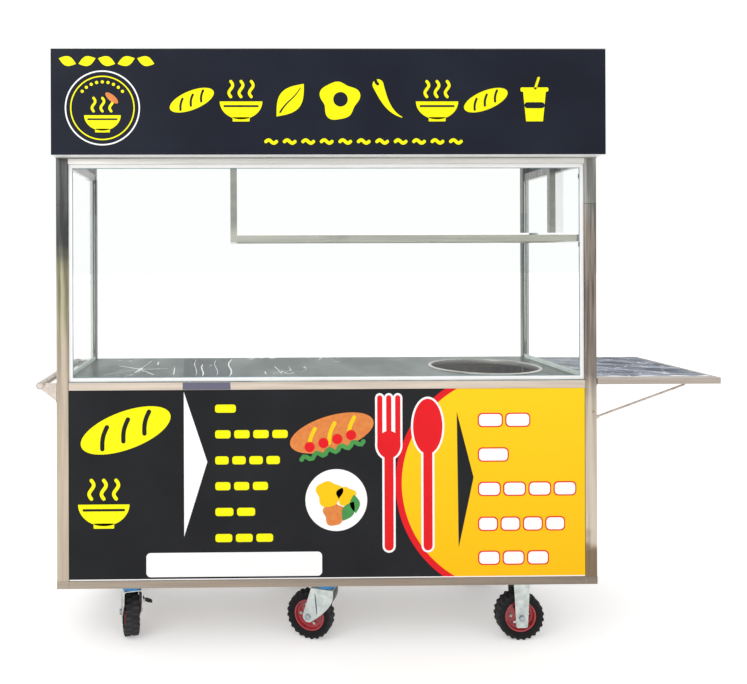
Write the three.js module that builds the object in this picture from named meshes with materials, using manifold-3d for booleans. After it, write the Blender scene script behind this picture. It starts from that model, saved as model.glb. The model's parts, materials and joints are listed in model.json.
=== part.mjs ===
// Street food cart: a welded stainless cabinet on six casters, with a glazed display case,
// a sign box and roof above it, a push handle on the left and a folding shelf on the right.
// Lengths are millimetres. X runs to the customer's right, Y from the front to the back, Z up.
// Each piece is placed from the cart's own centre line, its front face and the floor.
import * as THREE from "three";
import { mergeVertices } from "three/addons/utils/BufferGeometryUtils.js";
import Module from "manifold-3d";

const wasm = await Module();
wasm.setup();

// Overall sizes
const cart_width = 1800;
const cart_depth = 600;
const seat_gap = 0.3; // left between two pieces that seat on each other
const overrun = 5; // how far a cutting tool runs past the face it cuts

// Posts: square tube, thicker at the front
const front_post = 40;
const rear_post = 30;
const post_wall = 1.5;
const post_corner = 3;
const sleeve_drop = 134; // from the window rail down to where the roof posts plug in
const spigot_length = 60;

// Base frame and cabinet
const base_height = 212; // underside of the base frame, which is the casters' height
const base_rail_height = 25;
const base_rail_width = 25;
const bearer_width = 116;
const bearer_wall = 3;
const floor_thickness = 2;
const board_thickness = 3;
const board_recess = 2;
const panel_sheet = 1.5;
const panel_flange = 25;

// Worktop and its frame
const worktop_height = 895;
const worktop_thickness = 2;
const counter_rail_height = 25;
const counter_rail_width = 25;
const counter_bar_width = 25;
const counter_bar_inset = 55.5; // from the cart's end to the middle of the outer bar
const counter_bays = 3;
const hole_radius = 195;
const hole_x = 624;
const hole_shift = 13; // towards the vendor, from the middle of the worktop
const rim_width = 9;
const rim_rise = 5;
const rim_drop = 12;
const rim_wall = 2;
const rim_outer_share = 0.7; // of the rim's width, where its outer bend ends
const rim_outer_rise_share = 0.8; // of the rim's rise, there
const rim_crest_share = 0.2; // of the rim's width, at its highest line
const rim_lip_rise_share = 0.6; // of the rim's rise, at its inner edge

// Sliding doors at the back, each in its own track
const door_thickness = 8;
const door_side_clearance = 1;
const door_head_clearance = 2;
const door_end_clearance = 2;
const door_overlap = 40;
const track_fin = 2;
const track_fin_low = 8;
const track_fin_high = 12;
const track_inset = 2;
const pull_width = 14;
const pull_height = 130;
const pull_rise = 2.4;
const pull_inset = 45;
const pull_round_share = 0.9; // of half the pull's width

// Display case glazing
const window_rail_drop = 22; // from the sign box's underside down to the window rail's
const window_rail_height = 28;
const window_rail_depth = 40;
const window_rail_wall = 1.5;
const side_rail_width = 25;
const glass_thickness = 5;
const glazing_width = 12;
const glazing_depth = 11;
const glazing_recess = 8;
const glass_bite = 6;
const channel_width = 12;
const channel_height = 13;
const side_glass_inset = 14;

// Hanging shelf inside the display case
const hanger_tube = 22;
const hanging_shelf_drop = 237; // from the window rail's underside down to the shelf's top
const hanging_shelf_left = -323;
const hanging_shelf_depth = 267;
const shelf_glass_thickness = 6;
const shelf_glass_margin = 5;

// Sign box and roof
const sign_height = 344;
const sign_reach = 65;
const sign_sheet = 2;
const roof_top = 1983;
const roof_sheet = 2;
const roof_rail_height = 30;
const roof_rail_width = 30;
const fascia_flange = 15;

// Push handle on the left side
const handle_radius = 12.5;
const handle_wall = 1.5;
const handle_stand_off = 55;
const handle_drop = 11; // from the worktop to the middle of the tube
const handle_foot_height = 62;
const handle_foot_drop = 4; // from the worktop to the top of a foot
const handle_foot_width = 34;
const handle_foot_thickness = 3;
const gusset_thickness = 4;
const gusset_tip_lip = 4;
const gusset_tip_share = 0.5; // of the tube's radius, at the gusset's cut tip

// Folding shelf on the right side, its hinge and its two stays
const fold_reach = 421; // from the side wall's clearance to the outer edge
const fold_rear_margin = 55;
const fold_front = 5;
const fold_rise = 3; // from the worktop to the top of the folding shelf
const fold_thickness = 20;
const fold_edge = 20;
const fold_sheet = 2;
const fold_wall_gap = 3;
const fold_corner = 6;
const hinge_axis_out = 8;
const hinge_axis_drop = 6;
const hinge_barrel_radius = 5;
const hinge_pin_radius = 3;
const hinge_pin_clearance = 0.3;
const hinge_leaf_thickness = 2.7;
const hinge_leaf_height = 32;
const knuckle_length = 60;
const hinge_end_margin = 20;
const hinge_web_thickness = 6;
const stay_radius = 3.5;
const stay_pivot_drop = 110;
const stay_pivot_out = 5.5;
const stay_out = 297;
const stay_inset = 10;
const stay_eye_radius = 5.2;
const stay_eye_width = 8;
const stay_pin_radius = 3;
const stay_pin_clearance = 0.3;
const stay_pin_head_radius = 5.5;
const stay_pin_head = 3;
const stay_lug_thickness = 4;
const stay_lug_width = 14;

// Casters
const caster_pitch = 662;
const caster_inset = 74;
const caster_plate_length = 110;
const caster_plate_width = 90;
const caster_plate_thickness = 4;
const caster_plate_corner = 8;
const slot_length = 13;
const slot_width = 9;
const slot_inset = 13;
const raceway_radius = 30;
const dust_ring_radius = 36;
const dust_ring_height = 10;
const raceway_height = 22;
const kingpin_radius = 6;
const kingpin_head_radius = 10;
const kingpin_head_height = 5;
const kingpin_clearance = 0.5;
const fork_sheet = 3;
const crown_sheet = 3.5;
const fork_side_clearance = 4;
const fork_trail = 55;
const fork_crown_back = 42;
const fork_crown_front = 34;
const fork_eye_radius = 19;
const fork_bow_out = 12;
const fork_bow_height = 144;
const fork_shoulder_drop = 13.4; // from the crown's top down to where the leg's curve starts
const rigid_leg_top = 56;
const rigid_leg_bottom = 40;
const rigid_leg_end = 33;
const rigid_leg_corner = 7;
const axle_radius = 5;
const axle_clearance = 0.3;
const axle_head_radius = 9.8;
const axle_head_height = 6;
const tread_radius = 80;
const tread_depth = 5;
const tyre_width = 50;
const tyre_crown_width = 42;
const tread_centre_gap = 3;
const rim_radius = 53.5;
const rim_flange_width = 38;
const rim_lip = 5;
const rim_web_half = 3;
const rim_dish = 8;
const hub_radius = 14;
const hub_length = 57;
const rim_window_radius = 6;
const rim_window_place = 30;

// Side brake on the left casters
const brake_pin_height = 128;
const brake_pin_radius = 3;
const brake_pin_length = 30;
const brake_pin_stand = 8;
const brake_hub_radius = 6;
const brake_hub_length = 20;
const brake_clearance = 0.3;
const brake_paddle_length = 33;
const brake_paddle_width = 30;
const brake_paddle_thickness = 4;
const brake_ear = 4;
const brake_ear_share = 1.5; // of the pin's radius, past the pin's middle

// Counts, angles and shares
const lugs_per_side = 12;
const lug_flank_share = 0.1; // of one lug's pitch, on each side of the change of height
const rim_windows = 3;
const round_steps = 5; // a full circle has twice as many sides
const ring_steps = 8;
const corner_steps = 1;
const bow_steps = 4;
const hex_steps = 3;
const rod_sides = 8;
const wheel_sides = 16;
const hole_sides = 28;
const brake_rest_angle = THREE.MathUtils.degToRad(20);
const front_left_trail_angle = THREE.MathUtils.degToRad(103.5);
const rear_left_trail_angle = THREE.MathUtils.degToRad(190);
const front_middle_trail_angle = THREE.MathUtils.degToRad(155.4);
const rear_middle_trail_angle = THREE.MathUtils.degToRad(172);
const paddle_taper_share = 0.72;
const shoulder_share = 0.35; // of the tread depth below its root, where the tyre's side ends

// Places that follow from those sizes
const half_width = cart_width / 2;
const counter_bar_pitch = (cart_width - 2 * counter_bar_inset) / counter_bays;
const hole_y = cart_depth / 2 + hole_shift;
const sign_bottom = roof_top - sign_height;
const window_rail_bottom = sign_bottom - window_rail_drop;
const hanging_shelf_top = window_rail_bottom - hanging_shelf_drop;
const sleeve_height = window_rail_bottom - sleeve_drop;
const handle_height = worktop_height - handle_drop;
const handle_foot_top = worktop_height - handle_foot_drop;
const fold_top = worktop_height + fold_rise;
const fold_depth = cart_depth - fold_front - fold_rear_margin;
const base_top = base_height + base_rail_height;
const counter_rail_top = worktop_height - worktop_thickness;
const counter_rail_bottom = counter_rail_top - counter_rail_height;
const front_inner_x = half_width - front_post;
const rear_inner_x = half_width - rear_post;
const rear_post_front = cart_depth - rear_post;
const window_rail_top = window_rail_bottom + window_rail_height;
const hanging_shelf_front = glazing_recess + glazing_depth + seat_gap;
const roof_frame_top = roof_top - roof_sheet - seat_gap;
const roof_rail_bottom = roof_frame_top - roof_rail_height;
const fold_underside = fold_top - fold_thickness;
const hinge_x = half_width + hinge_axis_out;
const hinge_z = fold_underside - hinge_axis_drop;
const stay_pivot_z = fold_underside - stay_pivot_drop;
const stay_rise = stay_pivot_drop - seat_gap - stay_radius;
const lug_half_angle = (Math.PI / lugs_per_side) * (1 / 2 - lug_flank_share);
const axle_height = tread_radius * Math.cos(lug_half_angle);
const fork_inner_half = tyre_width / 2 + fork_side_clearance;
const fork_outer_half = fork_inner_half + fork_sheet;
const caster_plate_bottom = base_height - seat_gap - caster_plate_thickness;
const dust_ring_bottom = caster_plate_bottom - raceway_height;
const crown_top = dust_ring_bottom - seat_gap;
const fork_shoulder_height = crown_top - fork_shoulder_drop;
const crown_bottom = crown_top - crown_sheet;

// Materials
const paint = (color, roughness, metalness) => () =>
  new THREE.MeshStandardMaterial({ color, roughness, metalness });
const stainless = paint(0xb8b2aa, 0.35, 0.9);
const zinc = paint(0xc3d0d4, 0.4, 0.85);
const board_black = paint(0x26272b, 0.5, 0);
const sign_black = paint(0x23282f, 0.5, 0);
const black_rubber = paint(0x1c1c1e, 0.8, 0);
const red_paint = paint(0xb4263a, 0.4, 0.1);
const white_trim = paint(0xf2f2ee, 0.5, 0);
const black_plastic = paint(0x161618, 0.6, 0);
const film = paint(0xa9b6be, 0.3, 0.3);
const glass = () => {
  const made = new THREE.MeshStandardMaterial({ color: 0xcfe6dd, roughness: 0.05, metalness: 0 });
  made.transparent = true;
  made.opacity = 0.25;
  return made;
};

// A closed mesh as a solid: shared corners are merged and faces that shrank to nothing go.
function solid_of(geometry) {
  const bare = geometry.clone();
  bare.deleteAttribute("normal");
  bare.deleteAttribute("uv");
  const merged = mergeVertices(bare, seat_gap / 1000);
  const kept = [];
  const corners = merged.index.array;
  for (let i = 0; i < corners.length; i += 3) {
    const [a, b, c] = [corners[i], corners[i + 1], corners[i + 2]];
    if (a !== b && b !== c && a !== c) kept.push(a, b, c);
  }
  return new wasm.Manifold(
    new wasm.Mesh({
      numProp: 3,
      vertProperties: new Float32Array(merged.attributes.position.array),
      triVerts: new Uint32Array(kept),
    }),
  );
}

function geometry_of(solid) {
  const { vertProperties, triVerts } = solid.getMesh();
  const made = new THREE.BufferGeometry();
  made.setAttribute("position", new THREE.BufferAttribute(vertProperties, 3));
  made.setIndex(new THREE.BufferAttribute(triVerts, 1));
  const shown = made.toNonIndexed();
  shown.computeVertexNormals();
  return shown;
}

const join = (...parts) => geometry_of(parts.map(solid_of).reduce((a, b) => a.add(b)));
const cut = (part, ...tools) =>
  geometry_of(tools.map(solid_of).reduce((a, b) => a.subtract(b), solid_of(part)));

// A box from its two corners.
function box([x0, y0, z0], [x1, y1, z1]) {
  return new THREE.BoxGeometry(x1 - x0, y1 - y0, z1 - z0).translate(
    (x0 + x1) / 2,
    (y0 + y1) / 2,
    (z0 + z1) / 2,
  );
}

// A shape drawn in X and Y, standing from z0 to z1.
function along_z(shape, z0, z1, steps = round_steps) {
  const flat = { depth: z1 - z0, bevelEnabled: false, curveSegments: steps };
  return new THREE.ExtrudeGeometry(shape, flat).translate(0, 0, z0);
}

// A shape drawn in X and Z, running from y0 to y1.
function along_y(shape, y0, y1, steps = round_steps) {
  const flat = { depth: y1 - y0, bevelEnabled: false, curveSegments: steps };
  return new THREE.ExtrudeGeometry(shape, flat).rotateX(Math.PI / 2).translate(0, y1, 0);
}

// A shape drawn in Y and Z, running from x0 to x1.
function along_x(shape, x0, x1, steps = round_steps) {
  const flat = { depth: x1 - x0, bevelEnabled: false, curveSegments: steps };
  const turn = new THREE.Matrix4().makeBasis(
    new THREE.Vector3(0, 1, 0),
    new THREE.Vector3(0, 0, 1),
    new THREE.Vector3(1, 0, 0),
  );
  return new THREE.ExtrudeGeometry(shape, flat).applyMatrix4(turn).translate(x0, 0, 0);
}

function outline(points) {
  return new THREE.Shape(points.map(([u, v]) => new THREE.Vector2(u, v)));
}

// A rectangle with round corners, from its low corner to its high corner.
function rounded(u0, v0, u1, v1, r) {
  const s = new THREE.Shape();
  s.moveTo(u0 + r, v0);
  s.lineTo(u1 - r, v0).absarc(u1 - r, v0 + r, r, -Math.PI / 2, 0);
  s.lineTo(u1, v1 - r).absarc(u1 - r, v1 - r, r, 0, Math.PI / 2);
  s.lineTo(u0 + r, v1).absarc(u0 + r, v1 - r, r, Math.PI / 2, Math.PI);
  s.lineTo(u0, v0 + r).absarc(u0 + r, v0 + r, r, Math.PI, Math.PI * 1.5);
  return s;
}

function disc(u, v, r) {
  const s = new THREE.Shape();
  s.absarc(u, v, r, 0, Math.PI * 2);
  return s;
}

const round_z = (x, y, r, z0, z1, steps) => along_z(disc(x, y, r), z0, z1, steps);
const round_y = (x, z, r, y0, y1, steps) => along_y(disc(x, z, r), y0, y1, steps);

const cart = new THREE.Group();
cart.name = "street_food_cart";

function add(name, geometry, material, parent = cart) {
  const piece = new THREE.Mesh(geometry, material());
  piece.name = name;
  parent.add(piece);
  return piece;
}

// Square tube standing upright, open at both ends, with slightly round outer corners.
function post_tube(x, y, width, z0, z1) {
  const tube = rounded(x, y, x + width, y + width, post_corner);
  const bore = outline([
    [x + post_wall, y + post_wall],
    [x + post_wall, y + width - post_wall],
    [x + width - post_wall, y + width - post_wall],
    [x + width - post_wall, y + post_wall],
  ]);
  tube.holes.push(bore);
  return along_z(tube, z0, z1, corner_steps);
}

// Lug that carries a stay's pin on the right side wall, with its top and bottom rounded.
function stay_lug(y) {
  const lug_end = half_width + stay_pivot_out;
  const lug = outline([
    [half_width - post_wall, stay_pivot_z - stay_lug_width / 2],
    [lug_end, stay_pivot_z - stay_lug_width / 2],
    [lug_end, stay_pivot_z + stay_lug_width / 2],
    [half_width - post_wall, stay_pivot_z + stay_lug_width / 2],
  ]);
  const eye_low = y - stay_eye_width / 2 - seat_gap;
  const eye_high = y + stay_eye_width / 2 + seat_gap;
  return [
    along_y(lug, eye_high, eye_high + stay_lug_thickness),
    round_y(lug_end, stay_pivot_z, stay_lug_width / 2, eye_high, eye_high + stay_lug_thickness),
    round_y(lug_end, stay_pivot_z, stay_pin_radius, eye_low - seat_gap, eye_high + stay_lug_thickness),
    round_y(lug_end, stay_pivot_z, stay_pin_head_radius, eye_low - stay_pin_head, eye_low),
  ];
}
const stay_places = {
  front: fold_front + stay_inset,
  rear: fold_front + fold_depth - stay_inset - stay_eye_width,
};

// Cabinet posts stand on the base frame and end at the sleeve joint.
function add_posts() {
  const foot = base_top + seat_gap;
  const tubes = {
    front_left_post: post_tube(-half_width, 0, front_post, foot, sleeve_height),
    rear_left_post: post_tube(-half_width, rear_post_front, rear_post, foot, sleeve_height),
    rear_right_post: post_tube(rear_inner_x, rear_post_front, rear_post, foot, sleeve_height),
    front_right_post: join(
      post_tube(front_inner_x, 0, front_post, foot, sleeve_height),
      ...stay_lug(stay_places.front),
    ),
  };
  for (const [name, tube] of Object.entries(tubes)) add(name, tube, stainless);
}

// Fins along the door tracks: three ribs that leave a groove for each door.
const groove = door_thickness + 2 * door_side_clearance;
const fin_step = track_fin + groove;
function track_fins(z0, z1) {
  const outer = cart_depth - track_inset;
  return [0, 1, 2].map((i) =>
    box(
      [-rear_inner_x + seat_gap, outer - track_fin - i * fin_step, z0],
      [rear_inner_x - seat_gap, outer - i * fin_step, z1],
    ),
  );
}
const door_band = 2 * fin_step + track_fin + track_inset + seat_gap;

// Base frame: four rails in a ring, a channel across at each pair of casters, and the low track.
function add_base_frame() {
  const rear_rail = Math.max(base_rail_width, door_band);
  const ring = cut(
    box([-half_width, 0, base_height], [half_width, cart_depth, base_top]),
    box(
      [-half_width + base_rail_width, base_rail_width, base_height - overrun],
      [half_width - base_rail_width, cart_depth - rear_rail, base_top + overrun],
    ),
  );
  const half = bearer_width / 2;
  const bearers = [-caster_pitch, 0, caster_pitch].map((x) =>
    along_y(
      outline([
        [x - half, base_height],
        [x + half, base_height],
        [x + half, base_top],
        [x + half - bearer_wall, base_top],
        [x + half - bearer_wall, base_height + bearer_wall],
        [x - half + bearer_wall, base_height + bearer_wall],
        [x - half + bearer_wall, base_top],
        [x - half, base_top],
      ]),
      base_rail_width - bearer_wall,
      cart_depth - rear_rail + bearer_wall,
    ),
  );
  const fins = track_fins(base_top - bearer_wall, base_top + track_fin_low);
  add("base_frame", join(ring, ...bearers, ...fins), stainless);
}

// Floor of the cabinet: one sheet on the base frame, between the front board and the doors.
function add_floor() {
  const low = base_top + seat_gap;
  const back = cart_depth - door_band - seat_gap;
  const front = board_recess + board_thickness + seat_gap;
  const side = front_inner_x - seat_gap;
  const sheet = box([-side, front, low], [side, back, low + floor_thickness]);
  add("cabinet_floor", sheet, stainless);
}

function add_front_board() {
  const side = front_inner_x - seat_gap;
  const board = box(
    [-side, board_recess, base_top + seat_gap],
    [side, board_recess + board_thickness, counter_rail_bottom - seat_gap],
  );
  add("front_board", board, board_black);
}

// A sheet pan in a side wall: its face is flush with the posts and its edges are folded in.
function side_pan(side, z0, z1, flange) {
  const y0 = front_post + seat_gap;
  const y1 = rear_post_front - seat_gap;
  const face = side * half_width;
  const inner = face - side * flange;
  const skin = face - side * panel_sheet;
  const slab = box(
    [Math.min(face, inner), y0, z0],
    [Math.max(face, inner), y1, z1],
  );
  const past = inner - side * overrun;
  const hollow = box(
    [Math.min(skin, past), y0 + panel_sheet, z0 + panel_sheet],
    [Math.max(skin, past), y1 - panel_sheet, z1 - panel_sheet],
  );
  return cut(slab, hollow);
}

function add_side_panels() {
  const z0 = base_top + seat_gap;
  const z1 = counter_rail_top - seat_gap;
  add("left_side_panel", side_pan(-1, z0, z1, panel_flange), stainless);
  const right = side_pan(1, z0, z1, panel_flange);
  add("right_side_panel", join(right, ...stay_lug(stay_places.rear)), stainless);
}

// Two sliding doors close the back. Each has a raised pull near the end that it opens from.
function add_doors() {
  const z0 = base_top + seat_gap;
  const z1 = counter_rail_bottom - door_head_clearance;
  const end = rear_inner_x - door_end_clearance;
  const pull_z = (z0 + z1) / 2;
  const outer_face = cart_depth - track_inset - track_fin - door_side_clearance;
  const doors = { left: [-1, outer_face], right: [1, outer_face - fin_step] };
  for (const [name, [side, face]] of Object.entries(doors)) {
    const far = side * end;
    const near = (-side * door_overlap) / 2;
    const panel = box(
      [Math.min(far, near), face - door_thickness, z0],
      [Math.max(far, near), face, z1],
    );
    const pull_x = far - side * pull_inset;
    const r = pull_width / 2;
    const strip = rounded(
      pull_x - r,
      pull_z - pull_height / 2,
      pull_x + r,
      pull_z + pull_height / 2,
      r * pull_round_share,
    );
    const pull = along_y(strip, face - door_thickness / 2, face + pull_rise, bow_steps / 2);
    add(name + "_sliding_door", join(panel, pull), stainless);
  }
}

// Frame under the worktop: a front and a back rail, four bars across and the high track.
function add_counter_frame() {
  const half = counter_bar_width / 2;
  const to_bar = counter_bar_pitch / 2 - half;
  const end = counter_bar_pitch + counter_bar_pitch / 2 + half;
  const low = counter_rail_bottom;
  const high = counter_rail_top;
  const slab = box([-end, 0, low], [end, cart_depth, high]);
  const pockets = [-1, 0, 1].map((place) =>
    box(
      [place * counter_bar_pitch - to_bar, counter_rail_width, low - overrun],
      [place * counter_bar_pitch + to_bar, rear_post_front, high + overrun],
    ),
  );
  const tails = [-1, 1].flatMap((side) => {
    const near = side * (end - overrun);
    const front = side * (front_inner_x - seat_gap);
    const rear = side * (rear_inner_x - seat_gap);
    return [
      box([Math.min(near, front), 0, low], [Math.max(near, front), counter_rail_width, high]),
      box([Math.min(near, rear), rear_post_front, low], [Math.max(near, rear), cart_depth, high]),
    ];
  });
  const fins = track_fins(low - track_fin_high, low + track_fin);
  add("counter_frame", join(cut(slab, ...pockets), ...tails, ...fins), stainless);
}

// Worktop: one sheet notched round the four posts, with the round hole for a pot.
function add_worktop() {
  const f = front_post + seat_gap;
  const r = rear_post + seat_gap;
  const w = half_width;
  const sheet = outline([
    [-w + f, 0],
    [w - f, 0],
    [w - f, f],
    [w, f],
    [w, cart_depth - r],
    [w - r, cart_depth - r],
    [w - r, cart_depth],
    [-w + r, cart_depth],
    [-w + r, cart_depth - r],
    [-w, cart_depth - r],
    [-w, f],
    [-w + f, f],
  ]);
  sheet.holes.push(disc(hole_x, hole_y, hole_radius));
  const z0 = counter_rail_top + seat_gap;
  add("worktop", along_z(sheet, z0, worktop_height, hole_sides / 2), stainless);
  const rim = [
    [hole_radius - seat_gap - rim_wall, z0 - rim_drop],
    [hole_radius - seat_gap, z0 - rim_drop],
    [hole_radius - seat_gap, worktop_height + seat_gap],
    [hole_radius + rim_width, worktop_height + seat_gap],
    [hole_radius + rim_width * rim_outer_share, worktop_height + rim_rise * rim_outer_rise_share],
    [hole_radius + rim_width * rim_crest_share, worktop_height + rim_rise],
    [hole_radius - seat_gap - rim_wall, worktop_height + rim_rise * rim_lip_rise_share],
    [hole_radius - seat_gap - rim_wall, z0 - rim_drop],
  ].map(([u, v]) => new THREE.Vector2(u, v));
  const ring = new THREE.LatheGeometry(rim, hole_sides).rotateX(Math.PI / 2);
  add("pot_hole_rim", join(ring.translate(hole_x, hole_y, 0)), stainless);
}

// One end of the roof: two posts with spigots below, a window rail and a roof rail, welded.
function roof_end(side) {
  const x_range = (width) => [side * half_width, side * (half_width - width)].sort((a, b) => a - b);
  const [fx0, fx1] = x_range(front_post);
  const [rx0, rx1] = x_range(rear_post);
  const [wx0, wx1] = x_range(side_rail_width);
  const [tx0, tx1] = x_range(roof_rail_width);
  const z0 = sleeve_height + seat_gap;
  const in_wall = post_wall + seat_gap;
  const spigot_foot = sleeve_height - spigot_length;
  const middle_front = front_post / 2;
  const middle_rear = rear_post_front + rear_post / 2;
  const posts = [
    along_z(rounded(fx0, 0, fx1, front_post, post_corner), z0, roof_frame_top, corner_steps),
    along_z(
      rounded(rx0, rear_post_front, rx1, cart_depth, post_corner),
      z0,
      roof_frame_top,
      corner_steps,
    ),
    box([fx0 + in_wall, in_wall, spigot_foot], [fx1 - in_wall, front_post - in_wall, z0 + in_wall]),
    box(
      [rx0 + in_wall, rear_post_front + in_wall, spigot_foot],
      [rx1 - in_wall, cart_depth - in_wall, z0 + in_wall],
    ),
  ];
  const rails = [
    box([wx0, middle_front, window_rail_bottom], [wx1, middle_rear, window_rail_top]),
    box([tx0, middle_front, roof_rail_bottom], [tx1, middle_rear, roof_frame_top]),
  ];
  return join(...posts, ...rails);
}

// A straight rectangular tube between the two roof ends, open where it meets them.
function cross_tube(half_length, y0, y1, z0, z1) {
  const w = window_rail_wall;
  const tube = outline([[y0, z0], [y1, z0], [y1, z1], [y0, z1]]);
  tube.holes.push(outline([[y0 + w, z0 + w], [y0 + w, z1 - w], [y1 - w, z1 - w], [y1 - w, z0 + w]]));
  return along_x(tube, -half_length, half_length);
}

function add_roof() {
  add("left_roof_end", roof_end(-1), stainless);
  add("right_roof_end", roof_end(1), stainless);
  const front_half = front_inner_x - seat_gap;
  const rear_half = rear_inner_x - seat_gap;
  const window_rail = cross_tube(
    front_half,
    0,
    window_rail_depth,
    window_rail_bottom,
    window_rail_top,
  );
  add("front_window_rail", window_rail, stainless);
  const front_rail = cross_tube(front_half, 0, roof_rail_width, roof_rail_bottom, roof_frame_top);
  add("front_roof_rail", front_rail, stainless);
  const rear_rail = cross_tube(
    rear_half,
    cart_depth - roof_rail_width,
    cart_depth,
    roof_rail_bottom,
    roof_frame_top,
  );
  add("rear_roof_rail", rear_rail, stainless);
  const sheet = box(
    [-half_width, -sign_reach, roof_top - roof_sheet],
    [half_width, cart_depth, roof_top],
  );
  add("roof_sheet", sheet, stainless);
  const z0 = window_rail_top + seat_gap;
  const z1 = roof_rail_bottom - seat_gap;
  add("left_fascia", side_pan(-1, z0, z1, fascia_flange), sign_black);
  add("right_fascia", side_pan(1, z0, z1, fascia_flange), sign_black);
}

// Sign box: a tray of folded sheet that stands out from the posts, open towards them.
function add_sign() {
  const tray = cut(
    box([-half_width, -sign_reach, sign_bottom], [half_width, -seat_gap, roof_frame_top]),
    box(
      [-half_width + sign_sheet, -sign_reach + sign_sheet, sign_bottom + sign_sheet],
      [half_width - sign_sheet, overrun, roof_frame_top - sign_sheet],
    ),
  );
  add("sign_box", tray, sign_black);
}

// Front pane in a grooved frame, and a pane at each end that stands in a channel.
function add_glazing() {
  const z0 = worktop_height + seat_gap;
  const z1 = window_rail_bottom - seat_gap;
  const side = front_inner_x - seat_gap;
  const w = glazing_width;
  const y0 = glazing_recess;
  const y1 = glazing_recess + glazing_depth;
  const glass_y = y0 + (glazing_depth - glass_thickness) / 2;
  const deep = w - glass_bite - seat_gap;
  const frame = cut(
    box([-side, y0, z0], [side, y1, z1]),
    box([-side + w, y0 - overrun, z0 + w], [side - w, y1 + overrun, z1 - w]),
    box(
      [-side + deep, glass_y - seat_gap, z0 + deep],
      [side - deep, glass_y + glass_thickness + seat_gap, z1 - deep],
    ),
  );
  add("front_glazing_frame", frame, white_trim);
  const edge = deep + seat_gap;
  const pane = box(
    [-side + edge, glass_y, z0 + edge],
    [side - edge, glass_y + glass_thickness, z1 - edge],
  );
  add("front_glass", pane, glass);
  const wall = (channel_width - glass_thickness) / 2 - seat_gap;
  const ya = front_post + seat_gap;
  const yb = rear_post_front - seat_gap;
  for (const [name, s] of [["left", -1], ["right", 1]]) {
    const outer = s * (half_width - side_glass_inset);
    const inner = outer - s * channel_width;
    const a = Math.min(outer, inner);
    const b = Math.max(outer, inner);
    const channel = outline([
      [a, z0],
      [b, z0],
      [b, z0 + channel_height],
      [b - wall, z0 + channel_height],
      [b - wall, z0 + wall],
      [a + wall, z0 + wall],
      [a + wall, z0 + channel_height],
      [a, z0 + channel_height],
    ]);
    add(name + "_glass_channel", along_y(channel, ya, yb), stainless);
    const g = a + wall + seat_gap;
    const end_glass = box(
      [g, ya, z0 + wall + seat_gap],
      [g + glass_thickness, yb, window_rail_bottom - seat_gap],
    );
    add(name + "_end_glass", end_glass, glass);
  }
}

// Hanging shelf: a ring of tube, one hanger under the window rail, one beside the end rail.
function add_hanging_shelf() {
  const t = hanger_tube;
  const x0 = hanging_shelf_left;
  const x1 = front_inner_x - seat_gap;
  const y0 = hanging_shelf_front;
  const y1 = hanging_shelf_front + hanging_shelf_depth;
  const z0 = hanging_shelf_top - t;
  const z1 = hanging_shelf_top;
  const ring = cut(
    box([x0, y0, z0], [x1, y1, z1]),
    box([x0 + t, y0 + t, z0 - overrun], [x1 - t, y1 - t, z1 + overrun]),
  );
  const front_hanger = box([x0, y0, z0], [x0 + t, y0 + t, window_rail_bottom - seat_gap]);
  const rail_face = half_width - side_rail_width - seat_gap;
  const back_hanger = box([rail_face - t, y1 - t, z0], [rail_face, y1, window_rail_top]);
  add("hanging_shelf_frame", join(ring, front_hanger, back_hanger), stainless);
  const m = shelf_glass_margin;
  const notch_x = x0 + t + m;
  const notch_y = y0 + t + m;
  const right = Math.min(x1, rail_face - t) - m;
  const plate = outline([
    [notch_x, y0 + m],
    [right, y0 + m],
    [right, y1 - m],
    [x0 + m, y1 - m],
    [x0 + m, notch_y],
    [notch_x, notch_y],
  ]);
  const low = z1 + seat_gap;
  add("shelf_glass", along_z(plate, low, low + shelf_glass_thickness), glass);
}

// Push handle: a tube along the left end, carried by a gusset and a foot at each corner post.
function add_handle() {
  const bar_x = -half_width - handle_stand_off;
  const wall_x = -half_width - seat_gap;
  const foot_low = handle_foot_top - handle_foot_height;
  const r = handle_radius;
  const gusset = outline([
    [wall_x, foot_low],
    [wall_x, handle_foot_top],
    [bar_x, handle_height + r * gusset_tip_share],
    [bar_x - r * gusset_tip_share, handle_height],
    [bar_x, handle_height - r - gusset_tip_lip],
  ]);
  const front_y = (front_post - handle_foot_width) / 2;
  const rear_y = cart_depth - front_y - handle_foot_width;
  const ends = [front_y, rear_y].flatMap((y) => [
    box(
      [wall_x - handle_foot_thickness, y, foot_low],
      [wall_x, Math.min(y + handle_foot_width, cart_depth), handle_foot_top],
    ),
    along_y(
      gusset,
      y + (handle_foot_width - gusset_thickness) / 2,
      y + (handle_foot_width + gusset_thickness) / 2,
    ),
  ]);
  const tube = disc(bar_x, handle_height, r);
  tube.holes.push(disc(bar_x, handle_height, r - handle_wall));
  const bar = along_y(tube, front_y, rear_y + handle_foot_width);
  add("push_handle", join(bar, ...ends), stainless);
}

// Knuckles alternate along the hinge: the wall leaf has the odd ones, the shelf the even ones.
const hinge_start = fold_front + hinge_end_margin;
const hinge_end = fold_front + fold_depth - hinge_end_margin;
const knuckle_places = [0, 1, 2, 3, 4].map(
  (i) => hinge_start + ((hinge_end - hinge_start - knuckle_length) * i) / 4,
);

function knuckle(y, bore) {
  const ring = disc(hinge_x, hinge_z, hinge_barrel_radius);
  if (bore > 0) ring.holes.push(disc(hinge_x, hinge_z, bore));
  return along_y(ring, y, y + knuckle_length);
}

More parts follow.
